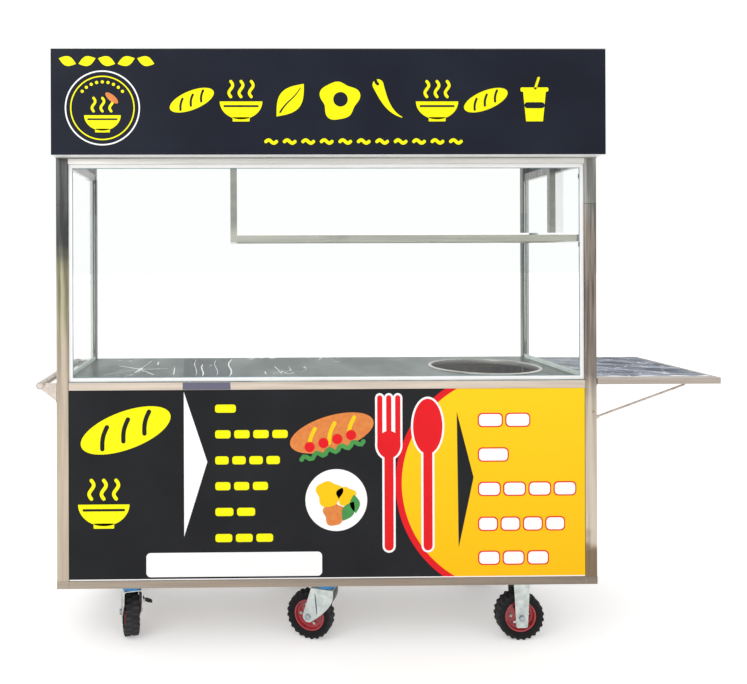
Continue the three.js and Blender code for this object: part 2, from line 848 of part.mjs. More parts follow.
// The wall's hinge: a leaf on the side panel, three knuckles and the pin through all five.
function add_shelf_hinge() {
  const wall_x = half_width + seat_gap;
  const leaf = box(
    [wall_x, front_post + seat_gap, hinge_z - hinge_leaf_height],
    [wall_x + hinge_leaf_thickness, hinge_end, hinge_z],
  );
  const fixed = knuckle_places.filter((_, i) => i % 2 === 0);
  const barrels = fixed.map((y) => knuckle(y, 0));
  const webs = fixed.map((y) =>
    box(
      [wall_x, y, hinge_z - hinge_barrel_radius],
      [hinge_x, y + knuckle_length, hinge_z],
    ),
  );
  const low_leaf = box(
    [wall_x, hinge_start, hinge_z - hinge_leaf_height],
    [wall_x + hinge_leaf_thickness, front_post + overrun, hinge_z],
  );
  const pin = round_y(hinge_x, hinge_z, hinge_pin_radius, hinge_start, hinge_end);
  add("shelf_hinge", join(leaf, low_leaf, ...barrels, ...webs, pin), zinc);
}

// The folding shelf: a frame of tube under one sheet, with its two knuckles.
function add_folding_shelf() {
  const x0 = half_width + fold_wall_gap;
  const x1 = x0 + fold_reach;
  const y0 = fold_front;
  const y1 = fold_front + fold_depth;
  const slab = along_z(rounded(x0, y0, x1, y1, fold_corner), fold_underside, fold_top, bow_steps / 2);
  const middle = (y0 + y1) / 2;
  const half = fold_edge / 2;
  const pocket = (ya, yb) =>
    box(
      [x0 + fold_edge, ya, fold_underside - overrun],
      [x1 - fold_edge, yb, fold_top - fold_sheet],
    );
  const tray = cut(
    slab,
    pocket(y0 + fold_edge, middle - half),
    pocket(middle + half, y1 - fold_edge),
  );
  const clear = hinge_pin_radius + hinge_pin_clearance;
  const moving = knuckle_places.filter((_, i) => i % 2 === 1);
  const webs = moving.map((y) =>
    cut(
      box(
        [hinge_x - hinge_web_thickness / 2, y, hinge_z],
        [hinge_x + hinge_web_thickness / 2, y + knuckle_length, fold_underside + fold_sheet],
      ),
      round_y(hinge_x, hinge_z, clear, y - overrun, y + knuckle_length + overrun),
    ),
  );
  const barrels = moving.map((y) => knuckle(y, clear));
  add("folding_shelf", join(tray, ...barrels, ...webs), film);
}

// A stay: a rod with an eye round the wall pin and a round end under the shelf's edge.
function add_stays() {
  const pivot_x = half_width + stay_pivot_out;
  const length = Math.hypot(stay_out, stay_rise);
  const rise = Math.atan2(stay_rise, stay_out);
  for (const [name, y] of Object.entries(stay_places)) {
    const eye = round_y(0, 0, stay_eye_radius, -stay_eye_width / 2, stay_eye_width / 2);
    const rod = new THREE.CylinderGeometry(stay_radius, stay_radius, length, rod_sides)
      .rotateZ(-Math.PI / 2)
      .translate(length / 2, 0, 0);
    const tip = new THREE.SphereGeometry(stay_radius, rod_sides, rod_sides / 2).translate(length, 0, 0);
    const bore = round_y(
      0,
      0,
      stay_pin_radius + stay_pin_clearance,
      -stay_eye_width,
      stay_eye_width,
    );
    const stay = cut(join(eye, rod, tip), bore);
    stay.rotateY(-rise).translate(pivot_x, y, stay_pivot_z);
    add(name + "_shelf_stay", stay, zinc);
  }
}

// A caster's top plate, with a slot near each corner for its bolts.
function top_plate() {
  const l = caster_plate_length / 2;
  const w = caster_plate_width / 2;
  const z0 = caster_plate_bottom;
  const z1 = z0 + caster_plate_thickness;
  const slots = [];
  for (const sx of [-1, 1])
    for (const sy of [-1, 1]) {
      const x = sx * (l - slot_inset);
      const y = sy * (w - slot_inset);
      slots.push(
        box(
          [x - slot_length / 2, y - slot_width / 2, z0 - overrun],
          [x + slot_length / 2, y + slot_width / 2, z1 + overrun],
        ),
      );
    }
  const plate = rounded(-l, -w, l, w, caster_plate_corner);
  return cut(along_z(plate, z0, z1, bow_steps / 2), ...slots);
}

// Top plate of a swivel caster, with its raceway, dust ring, kingpin and kingpin head.
function swivel_plate() {
  const z = caster_plate_bottom;
  return join(
    top_plate(),
    round_z(0, 0, raceway_radius, dust_ring_bottom, z, ring_steps),
    round_z(
      0,
      0,
      dust_ring_radius,
      dust_ring_bottom,
      dust_ring_bottom + dust_ring_height,
      ring_steps,
    ),
    round_z(0, 0, kingpin_radius, crown_bottom - seat_gap - kingpin_head_height, z),
    round_z(
      0,
      0,
      kingpin_head_radius,
      crown_bottom - seat_gap - kingpin_head_height,
      crown_bottom - seat_gap,
    ),
  );
}

// The side of a swivel fork in X and Z: wide at the crown, bowed in front, round at the axle.
function fork_leg() {
  const s = new THREE.Shape();
  const eye = fork_eye_radius;
  s.moveTo(-fork_crown_back, crown_top);
  s.lineTo(-fork_trail - eye, axle_height);
  s.absarc(-fork_trail, axle_height, eye, Math.PI, Math.PI * 1.75);
  s.quadraticCurveTo(fork_bow_out, fork_bow_height, fork_crown_front, fork_shoulder_height);
  s.lineTo(fork_crown_front, crown_top);
  return s;
}

// An axle bolt across the fork with a six-sided head and nut outside the legs.
function axle(x) {
  const out = fork_outer_half;
  const head = out + axle_head_height;
  return [
    round_y(x, axle_height, axle_radius, -out, out),
    round_y(x, axle_height, axle_head_radius, -head, -out + fork_sheet / 2, hex_steps),
    round_y(x, axle_height, axle_head_radius, out - fork_sheet / 2, head, hex_steps),
  ];
}

// Ears and pin that carry the side brake's pedal on the fork.
function brake_mount() {
  const half = brake_pin_length / 2;
  const y = fork_outer_half + brake_pin_stand;
  const pin = new THREE.CylinderGeometry(brake_pin_radius, brake_pin_radius, brake_pin_length, 10)
    .rotateZ(Math.PI / 2)
    .translate(-fork_trail / 2, y, brake_pin_height);
  const ears = [-half, half - brake_ear].map((x) =>
    box(
      [x - fork_trail / 2, fork_outer_half - fork_sheet / 2, brake_pin_height - brake_hub_radius],
      [
        x - fork_trail / 2 + brake_ear,
        y + brake_pin_radius * brake_ear_share,
        brake_pin_height + brake_hub_radius,
      ],
    ),
  );
  return [pin, ...ears];
}

function swivel_fork(braked) {
  const leg = fork_leg();
  const crown = new THREE.Shape();
  const w = fork_outer_half;
  crown.moveTo(-fork_crown_back, -w);
  crown.lineTo(fork_crown_front - w / 2, -w);
  crown.quadraticCurveTo(fork_crown_front, -w, fork_crown_front, 0);
  crown.quadraticCurveTo(fork_crown_front, w, fork_crown_front - w / 2, w);
  crown.lineTo(-fork_crown_back, w);
  const bore = kingpin_radius + kingpin_clearance;
  const crown_plate = cut(
    along_z(crown, crown_bottom, crown_top, bow_steps),
    round_z(0, 0, bore, crown_bottom - overrun, crown_top + overrun, ring_steps),
  );
  return join(
    crown_plate,
    along_y(leg, -fork_outer_half, -fork_inner_half, bow_steps),
    along_y(leg, fork_inner_half, fork_outer_half, bow_steps),
    ...axle(-fork_trail),
    ...(braked ? brake_mount() : []),
  );
}

// A rigid fork: its top plate and two straight legs that narrow towards the axle.
function rigid_fork() {
  const s = new THREE.Shape();
  const low = axle_height - rigid_leg_end;
  const b = rigid_leg_bottom / 2;
  const c = rigid_leg_corner;
  s.moveTo(-rigid_leg_top / 2, caster_plate_bottom + caster_plate_thickness / 2);
  s.lineTo(-b, low + c);
  s.quadraticCurveTo(-b, low, -b + c, low);
  s.lineTo(b - c, low);
  s.quadraticCurveTo(b, low, b, low + c);
  s.lineTo(rigid_leg_top / 2, caster_plate_bottom + caster_plate_thickness / 2);
  return join(
    top_plate(),
    along_y(s, -fork_outer_half, -fork_inner_half, bow_steps / 2),
    along_y(s, fork_inner_half, fork_outer_half, bow_steps / 2),
    ...axle(0),
  );
}

// Red wheel rim, turned about the axle: hub, dished web and flanged seat, with windows cut.
function rim() {
  const f = rim_flange_width / 2;
  const bore = axle_radius + axle_clearance;
  const inner = rim_radius - rim_lip;
  const section = [
    [bore, -hub_length / 2],
    [hub_radius, -hub_length / 2],
    [hub_radius, -rim_dish - rim_web_half],
    [inner - rim_lip, -rim_web_half],
    [inner, -f],
    [rim_radius, -f],
    [rim_radius, f],
    [inner, f],
    [inner - rim_lip, rim_web_half],
    [hub_radius, -rim_dish + rim_web_half],
    [hub_radius, hub_length / 2],
    [bore, hub_length / 2],
    [bore, -hub_length / 2],
  ].map(([u, v]) => new THREE.Vector2(u, v));
  const turned = new THREE.LatheGeometry(section, wheel_sides);
  const windows = [];
  for (let i = 0; i < rim_windows; i++) {
    const angle = (i * Math.PI * 2) / rim_windows;
    const x = rim_window_place * Math.cos(angle);
    const z = rim_window_place * Math.sin(angle);
    windows.push(round_y(x, z, rim_window_radius, -tyre_width / 2, tyre_width / 2, bow_steps));
  }
  return cut(turned, ...windows);
}

// Tyre with lugs: a closed section carried round the axle, whose two halves of tread rise
// and fall in turn, so that the lugs of one side face the gaps of the other.
function tyre() {
  const w = tyre_width / 2;
  const c = tyre_crown_width / 2;
  const g = tread_centre_gap / 2;
  const bead = rim_flange_width / 2;
  const seat = rim_radius + seat_gap;
  const root = tread_radius - tread_depth;
  const shoulder = root - tread_depth * shoulder_share;
  const flank = lug_flank_share / 2;
  const phases = [flank, 0.5 - flank, 0.5 + flank, 1 - flank];
  const sections = [];
  for (let lug = 0; lug < lugs_per_side; lug++)
    phases.forEach((phase, i) => {
      const left = i < 2 ? tread_radius : root;
      const right = i < 2 ? root : tread_radius;
      const angle = ((lug + phase - 0.25) * Math.PI * 2) / lugs_per_side - Math.PI / 2;
      const section = [
        [-bead, seat],
        [-w, shoulder],
        [-c, left],
        [-g, left],
        [g, right],
        [c, right],
        [w, shoulder],
        [bead, seat],
      ];
      sections.push(section.map(([y, r]) => [r * Math.cos(angle), y, r * Math.sin(angle)]));
    });
  const points = sections.flat(2);
  const count = sections[0].length;
  const faces = [];
  for (let i = 0; i < sections.length; i++)
    for (let j = 0; j < count; j++) {
      const here = i * count;
      const next = ((i + 1) % sections.length) * count;
      const k = (j + 1) % count;
      faces.push(here + j, here + k, next + k, here + j, next + k, next + j);
    }
  const made = new THREE.BufferGeometry();
  made.setAttribute("position", new THREE.Float32BufferAttribute(points, 3));
  made.setIndex(faces);
  return geometry_of(solid_of(made));
}

// Brake pedal: a hub round its pin and a paddle that narrows outwards and dips a little.
function brake_pedal() {
  const half = brake_hub_length / 2;
  const hub = new THREE.CylinderGeometry(brake_hub_radius, brake_hub_radius, brake_hub_length, 12);
  const bore_radius = brake_pin_radius + brake_clearance;
  const bore = new THREE.CylinderGeometry(bore_radius, bore_radius, brake_hub_length * 2, 12);
  const wide = brake_paddle_width / 2;
  const tip = wide * paddle_taper_share;
  const far = brake_paddle_length;
  const near = brake_hub_radius + brake_ear;
  const paddle = outline([
    [-half, 0],
    [half, 0],
    [half, near],
    [wide, near + brake_ear],
    [tip, far],
    [-tip, far],
    [-wide, near + brake_ear],
    [-half, near],
  ]);
  const t = brake_paddle_thickness / 2;
  const made = cut(
    join(hub.rotateZ(Math.PI / 2), along_z(paddle, -t, t)),
    bore.rotateZ(Math.PI / 2),
  );
  return made.rotateX(-brake_rest_angle);
}

// A wheel is a rim and a tyre in one group, turned as one about the axle.
function add_wheel(place, parent, x) {
  const wheel = new THREE.Group();
  wheel.position.set(x, 0, axle_height);
  parent.add(wheel);
  add(place + "_rim", rim(), red_paint, wheel);
  add(place + "_tyre", tyre(), black_rubber, wheel);
}

const trail_angles = {
  front_left: front_left_trail_angle,
  rear_left: rear_left_trail_angle,
  front_middle: front_middle_trail_angle,
  rear_middle: rear_middle_trail_angle,
};

function add_casters() {
  const rows = { front: caster_inset, rear: cart_depth - caster_inset };
  for (const [row, y] of Object.entries(rows)) {
    for (const [column, x] of [["left", -caster_pitch], ["middle", 0]]) {
      const place = row + "_" + column;
      const station = new THREE.Group();
      station.position.set(x, y, 0);
      cart.add(station);
      add(place + "_caster_plate", swivel_plate(), zinc, station);
      const swivel = new THREE.Group();
      swivel.rotation.z = trail_angles[place] - Math.PI;
      station.add(swivel);
      add(place + "_fork", swivel_fork(column === "left"), zinc, swivel);
      add_wheel(place, swivel, -fork_trail);
      if (column === "left") {
        const pedal = add(place + "_brake_pedal", brake_pedal(), black_plastic, swivel);
        pedal.position.set(-fork_trail / 2, fork_outer_half + brake_pin_stand, brake_pin_height);
      }
    }
    const fixed = new THREE.Group();
    fixed.position.set(caster_pitch, y, 0);
    cart.add(fixed);
    add(row + "_right_fork", rigid_fork(), zinc, fixed);
    add_wheel(row + "_right", fixed, 0);
  }
}

add_base_frame();
add_posts();
add_floor();
add_front_board();
add_side_panels();
add_doors();
add_counter_frame();
add_worktop();
add_roof();
add_sign();
add_glazing();
add_hanging_shelf();
add_handle();
add_shelf_hinge();
add_folding_shelf();
add_stays();
add_casters();

// The reference point is under the middle of the whole object, on the floor.
const left_end = -half_width - handle_stand_off - handle_radius;
const right_end = half_width + fold_wall_gap + fold_reach;
cart.position.set(-(left_end + right_end) / 2, -(cart_depth - sign_reach) / 2, 0);

const object = new THREE.Group();
object.add(cart);
export default object;
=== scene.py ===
# %% [markdown]
# # A street food cart in brushed stainless steel
# The CAD frame already holds every tube, sheet, wheel and hinge at its real size. This notebook
# dresses it: finer wheels, forks and shelf parts replace their plain solids, each surface gets the
# finish of its real material, and the printed boards get plain pictograms in cut film.
# First the frame is loaded.

# %% Load the CAD frame
import json
import math

import bmesh
import bpy
import numpy as np
from mathutils import Matrix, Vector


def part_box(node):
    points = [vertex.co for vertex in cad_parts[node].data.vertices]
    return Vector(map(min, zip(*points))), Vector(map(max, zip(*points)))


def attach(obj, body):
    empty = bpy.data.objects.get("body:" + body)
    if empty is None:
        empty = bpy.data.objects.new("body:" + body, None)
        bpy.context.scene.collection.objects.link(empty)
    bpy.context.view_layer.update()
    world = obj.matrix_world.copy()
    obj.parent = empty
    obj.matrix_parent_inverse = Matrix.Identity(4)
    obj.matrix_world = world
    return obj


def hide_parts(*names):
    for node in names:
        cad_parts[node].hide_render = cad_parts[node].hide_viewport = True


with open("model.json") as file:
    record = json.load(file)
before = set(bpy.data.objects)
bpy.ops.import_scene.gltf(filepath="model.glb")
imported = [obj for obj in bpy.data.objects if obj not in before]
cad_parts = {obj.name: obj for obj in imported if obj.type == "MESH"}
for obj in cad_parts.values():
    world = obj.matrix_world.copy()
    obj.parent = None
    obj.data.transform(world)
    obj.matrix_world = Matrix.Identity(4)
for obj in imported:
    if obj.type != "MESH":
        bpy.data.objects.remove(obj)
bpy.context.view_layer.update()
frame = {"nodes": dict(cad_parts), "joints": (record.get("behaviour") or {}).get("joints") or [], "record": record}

# %% [markdown]
# ## Millimetres of the cart
# A cart builder measures from the cart's centre line, its front face and the floor. The row frame
# has another origin, so two helpers go between the builder's millimetres and row metres. The two
# roof ends give the centre line and the front face, because nothing sticks out of them.

# %% Between cart millimetres and row metres
left_end, right_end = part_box("left_roof_end"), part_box("right_roof_end")
ORIGIN = np.array([(left_end[0][0] + right_end[1][0]) / 2, left_end[0][1], 0.0])


def to_row(points):
    """Row metres: cart millimetres divided by 1000, plus the place of the cart's own origin."""
    return np.asarray(points, float) / 1000 + ORIGIN


def to_cart(points):
    """Cart millimetres: row metres less the cart's own origin, times 1000."""
    return (np.array(points) - ORIGIN) * 1000


def body_of(node):
    """The name of the body that a CAD node rides on."""
    bodies = frame["record"]["behaviour"]["bodies"]
    return next(name for name, members in bodies.items() if node in members)


print("the cart's origin in the row frame", ORIGIN.round(4).tolist())

# %% [markdown]
# ## Shapes as arrays
# Each shape is a pair: an array of points and a list of faces. Points come from a formula over a
# grid, so a whole surface is worked out at once, and the faces only say which grid points are
# neighbours. Turned parts are a profile carried round an axis, plates are an outline given a
# thickness, and tubes are two outlines joined by walls.

# %% Faces of a grid, and joining, moving and turning shapes
def grid_faces(rows, columns, wrap_rows=False, wrap_columns=False):
    """Quads of a grid: point (i, j) joins (i, j + 1), (i + 1, j + 1) and (i + 1, j). A wrapped
    side joins its last line to its first."""
    i = np.arange(rows if wrap_rows else rows - 1)[:, None]
    j = np.arange(columns if wrap_columns else columns - 1)[None, :]
    below, beside = (i + 1) % rows, (j + 1) % columns
    corners = [i * columns + j, i * columns + beside, below * columns + beside, below * columns + j]
    return np.stack(np.broadcast_arrays(*corners), -1).reshape(-1, 4).tolist()


def capped(rows, columns):
    """Faces of a closed bar: a grid wrapped round its columns, and its first and last row."""
    first, last = range(columns), range((rows - 1) * columns, rows * columns)
    return grid_faces(rows, columns, wrap_columns=True) + [list(first), list(last)]


def joined(*shapes):
    """One shape from several: points one after another, face numbers raised to match."""
    points, faces, start = [], [], 0
    for shape_points, shape_faces in shapes:
        points.append(np.asarray(shape_points, float).reshape(-1, 3))
        faces += [[corner + start for corner in face] for face in shape_faces]
        start += len(points[-1])
    return np.concatenate(points), faces


def moved(shape, by):
    """The shape with one vector added to every point."""
    return np.asarray(shape[0], float).reshape(-1, 3) + np.asarray(by, float), shape[1]


def turned(shape, degrees, axis="z"):
    """The shape turned about an axis through the origin: in the plane across the axis, the first
    direction becomes cos and the second sin of the angle."""
    u, v = {"x": (1, 2), "y": (2, 0), "z": (0, 1)}[axis]
    c, s = math.cos(math.radians(degrees)), math.sin(math.radians(degrees))
    points = np.array(shape[0], float).reshape(-1, 3)
    across, along = points[:, u].copy(), points[:, v].copy()
    points[:, u], points[:, v] = c * across - s * along, s * across + c * along
    return points, shape[1]


def copies(shape, places):
    """The same shape at many places, one after another."""
    return joined(*[moved(shape, place) for place in places])


print("a 2 by 3 grid has faces", grid_faces(2, 3))

# %% [markdown]
# An outline is a list of flat points. Each solid form is made from one or two outlines, or from a
# profile, along any of the three axes.

# %% Outlines, plates, tubes and turned parts
PLANES = {"x": (1, 2, 0), "y": (0, 2, 1), "z": (0, 1, 2)}
QUARTER = np.pi / 2


def arc(u, v, radius, angle, squash=1.0):
    """Points round a centre: radius times cos and sin of each angle, the second one squashed."""
    return np.stack([u + radius * np.cos(angle), v + radius * squash * np.sin(angle)], -1)


def circle(u, v, radius, sides=32, squash=1.0):
    """An arc at equal angles all the way round."""
    return arc(u, v, radius, np.arange(sides) * 2 * np.pi / sides, squash)


def rounded(u0, v0, u1, v1, radius, steps=5):
    """A rectangle with round corners: a quarter circle about each corner's own centre."""
    quarter = np.linspace(0, QUARTER, steps + 1)
    angle = (quarter[None] + np.arange(4)[:, None] * QUARTER).ravel()
    centre_u = np.repeat([u1 - radius, u0 + radius, u0 + radius, u1 - radius], steps + 1)
    centre_v = np.repeat([v1 - radius, v1 - radius, v0 + radius, v0 + radius], steps + 1)
    return arc(centre_u, centre_v, radius, angle)


def laid(lines, axis):
    """Rows of points in space: each row is an outline and its place along the axis."""
    u, v, w = PLANES[axis]
    points = np.zeros((len(lines), len(lines[0][0]), 3))
    for row, (outline, level) in zip(points, lines):
        row[:, [u, v]], row[:, w] = outline, level
    return points.reshape(-1, 3)


def plate(outline, low, high, axis="z"):
    """An outline given a thickness: the same points at both ends of the axis, joined by a wall."""
    return laid([(outline, low), (outline, high)], axis), capped(2, len(outline))


def tube(outer, inner, low, high, axis="z"):
    """A hollow bar: four rows of points, outer low and high, then inner high and low, wrapped."""
    rows = [(outer, low), (outer, high), (inner, high), (inner, low)]
    return laid(rows, axis), grid_faces(4, len(outer), True, True)


def lathe(profile, sides=48, axis="z"):
    """A turned part: each profile point (radius, place along the axis) carried round a circle."""
    profile = np.asarray(profile, float)
    u, v, w = PLANES[axis]
    angle = np.arange(sides) * 2 * np.pi / sides
    points = np.zeros((sides, len(profile), 3))
    points[..., u] = np.cos(angle)[:, None] * profile[:, 0]
    points[..., v] = np.sin(angle)[:, None] * profile[:, 0]
    points[..., w] = profile[:, 1]
    return points.reshape(-1, 3), grid_faces(sides, len(profile), True, True)


def collar(inner, outer, low, high):
    """The profile of a plain turned ring, or of a pin where its inner radius is 0."""
    return [(inner, low), (outer, low), (outer, high), (inner, high)]


def heading(path):
    """The direction of a path at each of its points, as vectors of length 1."""
    ahead = np.gradient(path, axis=0)
    return ahead / np.linalg.norm(ahead, axis=1, keepdims=True)


def block(low, high, radius=0.01):
    """A box between two corners, its upright edges rounded."""
    steps = 3 if radius > 0.01 else 1
    return plate(rounded(*low[:2], *high[:2], radius, steps), low[2], high[2])


print("a turned ring of 48 sides has", len(lathe(collar(9, 10, 0, 2))[0]), "points")

# %% [markdown]
# ## From a shape to a piece of the cart
# A piece is a mesh object at the origin whose place is in its points, as a CAD node's is. Doubled
# points are merged, faces are turned outwards, and edges sharper than an angle stay sharp. Holes
# that no formula gives easily are cut by a boolean modifier, whose result is read back.

# %% Make a piece, cut a shape
MERGE_MM = 0.002


def mesh_of(name, points, faces):
    """A mesh with doubled points merged and its faces pointing outwards."""
    mesh = bpy.data.meshes.new(name)
    mesh.from_pydata(points.tolist(), [], faces)
    work = bmesh.new()
    work.from_mesh(mesh)
    bmesh.ops.remove_doubles(work, verts=work.verts, dist=MERGE_MM / 1000)
    bmesh.ops.recalc_face_normals(work, faces=work.faces)
    work.to_mesh(mesh)
    work.free()
    return mesh


def in_scene(name, data):
    """An object of the scene that holds a mesh, a lens or a lamp."""
    made = bpy.data.objects.new(name, data)
    bpy.context.scene.collection.objects.link(made)
    return made


def points_of(mesh):
    """The points of a mesh as an array."""
    points = np.empty(len(mesh.vertices) * 3)
    mesh.vertices.foreach_get("co", points)
    return points.reshape(-1, 3)


def carved(shape, *tools, how="DIFFERENCE"):
    """The shape after boolean cuts by the tools, read back as points and faces."""
    made = [in_scene("work", mesh_of("work", *part)) for part in (shape, *tools)]
    for tool in made[1:]:
        cut = made[0].modifiers.new("cut", "BOOLEAN")
        cut.operation, cut.object, cut.solver = how, tool, "EXACT"
    shown = made[0].evaluated_get(bpy.context.evaluated_depsgraph_get()).to_mesh()
    points, faces = points_of(shown), [list(face.vertices) for face in shown.polygons]
    for thing in made:
        bpy.data.objects.remove(thing)
    return points, faces


def piece(name, shape, finish, node, replaces=False, bevel=0.0, sharp=35):
    """A finished piece: mesh, material, soft shading below the sharp angle, an optional bevel in
    millimetres, riding on the body of a CAD node, which it may also replace."""
    mesh = mesh_of(name, to_row(shape[0]), shape[1])
    mesh.polygons.foreach_set("use_smooth", np.ones(len(mesh.polygons), bool))
    mesh.set_sharp_from_angle(angle=math.radians(sharp))
    mesh.materials.append(finish)
    made = in_scene(name, mesh)
    if bevel:
        edge = made.modifiers.new("edge", "BEVEL")
        edge.width, edge.segments, edge.angle_limit = bevel / 1000, 2, math.radians(sharp)
        edge.harden_normals = True
    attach(made, body_of(node))
    if replaces:
        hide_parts(node)
    return made


print("pieces are merged within", MERGE_MM, "mm")

# %% [markdown]
# ## Camera, floor and light
# The cart is seen almost square on, from a little above its worktop, with its upright lines kept
# parallel. A camera held level does that, and its lens is shifted to frame the cart. The floor is
# pale and plain. The world is even and white, and one wide soft lamp from the front left gives the
# tubes a lighter side, at a level at which a colour renders about as it is written.

# %% Camera
CAMERA_PLACE = (-310.4, -2504.0, 1303.9)
CAMERA_YAW, CAMERA_ROLL = 0.858, 0.183
LENS_MM, SHIFT = 36.375, (0.1712, -0.1121)

lens = bpy.data.cameras.new("camera")
lens.lens, lens.sensor_width = LENS_MM, 36.0
lens.shift_x, lens.shift_y = SHIFT
camera = in_scene("camera", lens)
turns = [(-math.radians(CAMERA_YAW), "Z"), (math.pi / 2, "X"), (-math.radians(CAMERA_ROLL), "Z")]
yaw, level, roll = [Matrix.Rotation(angle, 4, axis) for angle, axis in turns]
camera.matrix_world = Matrix.Translation(to_row(CAMERA_PLACE)) @ (yaw @ level) @ roll
bpy.context.scene.camera = camera
print("camera at", [round(value, 3) for value in camera.location])

# %% [markdown]
# ## Colours and nodes
# A colour is written as the sRGB hex value that a screen shows, and one function turns it to the
# linear values that light adds up in. One small function adds a shader node with its settings and
# what its sockets hold: a number, a colour, or another node's output.

# %% Colour and node helpers
def linear(shade):
    """Linear colour: a channel c up to 0.04045 becomes c / 12.92, else ((c + 0.055) / 1.055) to
    the power 2.4."""
    channels = [int(shade[k:k + 2], 16) / 255 for k in (0, 2, 4)]
    return (*[c / 12.92 if c <= 0.04045 else ((c + 0.055) / 1.055) ** 2.4 for c in channels], 1.0)


def grey(value):
    """A linear grey."""
    return (value, value, value, 1.0)


def fill(socket, value):
    """Puts a value into a socket, or links another node's output to it."""
    if isinstance(value, bpy.types.NodeSocket):
        socket.id_data.links.new(value, socket)
    else:
        socket.default_value = value


def node(tree, kind, sockets=None, **settings):
    """Adds a shader node, sets its settings and fills its sockets."""
    made = tree.nodes.new("ShaderNode" + kind)
    for name, value in settings.items():
        setattr(made, name, value)
    for name, value in (sockets or {}).items():
        fill(made.inputs[name], value)
    return made


def feed(shader, **sockets):
    """Fills sockets of a shader, whose names are written with _ for a space."""
    for name, value in sockets.items():
        fill(shader.inputs[name.replace("_", " ")], value)


def finish(name, shade, roughness, metallic=0.0, **sockets):
    """A material with its main shader; the sockets hold numbers that are the same all over."""
    made = bpy.data.materials.new(name)
    made.use_nodes = True
    tree = made.node_tree
    shader = tree.nodes["Principled BSDF"]
    feed(shader, Base_Color=linear(shade), Roughness=roughness, Metallic=metallic, **sockets)
    return made, tree, shader, node(tree, "TexCoord").outputs["Object"]


def maths(tree, operation, *values):
    """One sum on numbers."""
    return node(tree, "Math", dict(enumerate(values)), operation=operation).outputs[0]


def ramp(tree, value, stops):
    """A colour ramp over a value: each stop is a place from 0 to 1 and a colour."""
    made = node(tree, "ValToRGB", {"Fac": value})
    elements = made.color_ramp.elements
    while len(elements) < len(stops):
        elements.new(0.5)
    for element, (place, colour) in zip(elements, stops):
        element.position, element.color = place, colour
    return made.outputs["Color"]


def noise(tree, place, size_mm, detail=2.0, stretch=(1, 1, 1), roughness=0.5):
    """Noise whose lumps are about size_mm across, drawn out along an axis by the stretch."""
    scale = [1000 / size_mm / length for length in stretch]
    put = node(tree, "Mapping", {"Vector": place, "Scale": scale}).outputs["Vector"]
    found = {"Vector": put, "Scale": 1.0, "Detail": detail, "Roughness": roughness}
    return node(tree, "TexNoise", found).outputs["Fac"]


def mixed(tree, share, first, second, how="MIX"):
    """Two colours blended by a share, which is a number or an output."""
    sockets = {0: share, 6: first, 7: second}
    made = node(tree, "Mix", sockets, data_type="RGBA", blend_type=how, clamp_factor=True)
    return made.outputs[2]


def times(tree, first, second):
    """Two colours multiplied."""
    return mixed(tree, 1.0, first, second, "MULTIPLY")


def between(tree, value, low, high, out_low=0.0, out_high=1.0):
    """The value moved from one range to another, and held inside it."""
    limits = {"From Min": low, "From Max": high, "To Min": out_low, "To Max": out_high}
    return node(tree, "MapRange", {"Value": value, **limits}).outputs["Result"]


def bump(tree, shader, height, depth_mm):
    """Relief on the shader's normal: a height from 0 to 1 stands for depth_mm."""
    sockets = {"Height": height, "Distance": depth_mm / 1000, "Strength": 1.0}
    feed(shader, Normal=node(tree, "Bump", sockets).outputs["Normal"])


print("mid grey 808080 is", round(linear("808080")[0], 3), "in linear light")

# %% [markdown]
# ### Floor and lights
# The floor is a wide matt sheet, and it keeps the cart's shadow. The world shows white to the
# camera, in reflections and through glass, and a little less than white to everything that is lit.

# %% Floor and lights
FLOOR_HALF, FLOOR_LIFT = 60.0, 0.32
LAMP_SIZE, LAMP_POWER, FILL_LEVEL = 3.2, 62.0, 0.90
LAMP_PLACE, LAMP_TURN = (-2.6, -3.6, 3.4), (math.radians(55), 0.0, math.radians(-36))


def seen(tree):
    """1 for rays that come from the camera, a reflection or glass, and 0 for all others."""
    rays = node(tree, "LightPath").outputs
    direct = maths(tree, "MAXIMUM", rays["Is Camera Ray"], rays["Is Glossy Ray"])
    return maths(tree, "MAXIMUM", direct, rays["Is Transmission Ray"])


floor_square = rounded(-FLOOR_HALF, -FLOOR_HALF, FLOOR_HALF, FLOOR_HALF, 0.5)
floor = in_scene("floor", mesh_of("floor", *plate(floor_square, -0.02, 0.0)))
floor_finish, tree, shader, _ = finish("matt_pale_floor", "F7F7F7", 0.9)
floor.data.materials.append(floor_finish)
lift = maths(tree, "MULTIPLY", seen(tree), FLOOR_LIFT)
glow = node(tree, "Emission", {"Color": grey(1.0), "Strength": lift})
whole = node(tree, "AddShader", {0: shader.outputs[0], 1: glow.outputs[0]})
fill(tree.nodes["Material Output"].inputs["Surface"], whole.outputs[0])

world = bpy.data.worlds.new("even_white")
bpy.context.scene.world = world
world.use_nodes = True
tree = world.node_tree
tree.nodes.clear()
share = seen(tree)
levels = [node(tree, "Background", {"Color": grey(1.0), "Strength": level}).outputs[0]
          for level in (FILL_LEVEL, 1.0)]
shown = node(tree, "MixShader", {0: share, 1: levels[0], 2: levels[1]})
node(tree, "OutputWorld", {"Surface": shown.outputs[0]})

lamp_data = bpy.data.lights.new("soft_lamp", "AREA")
lamp_data.shape, lamp_data.size, lamp_data.energy = "SQUARE", LAMP_SIZE, LAMP_POWER
lamp = in_scene("soft_lamp", lamp_data)
lamp.location, lamp.rotation_euler = LAMP_PLACE, LAMP_TURN
bpy.context.scene.view_settings.view_transform = "Standard"
print("lamp of", LAMP_POWER, "W over a fill of", FILL_LEVEL)
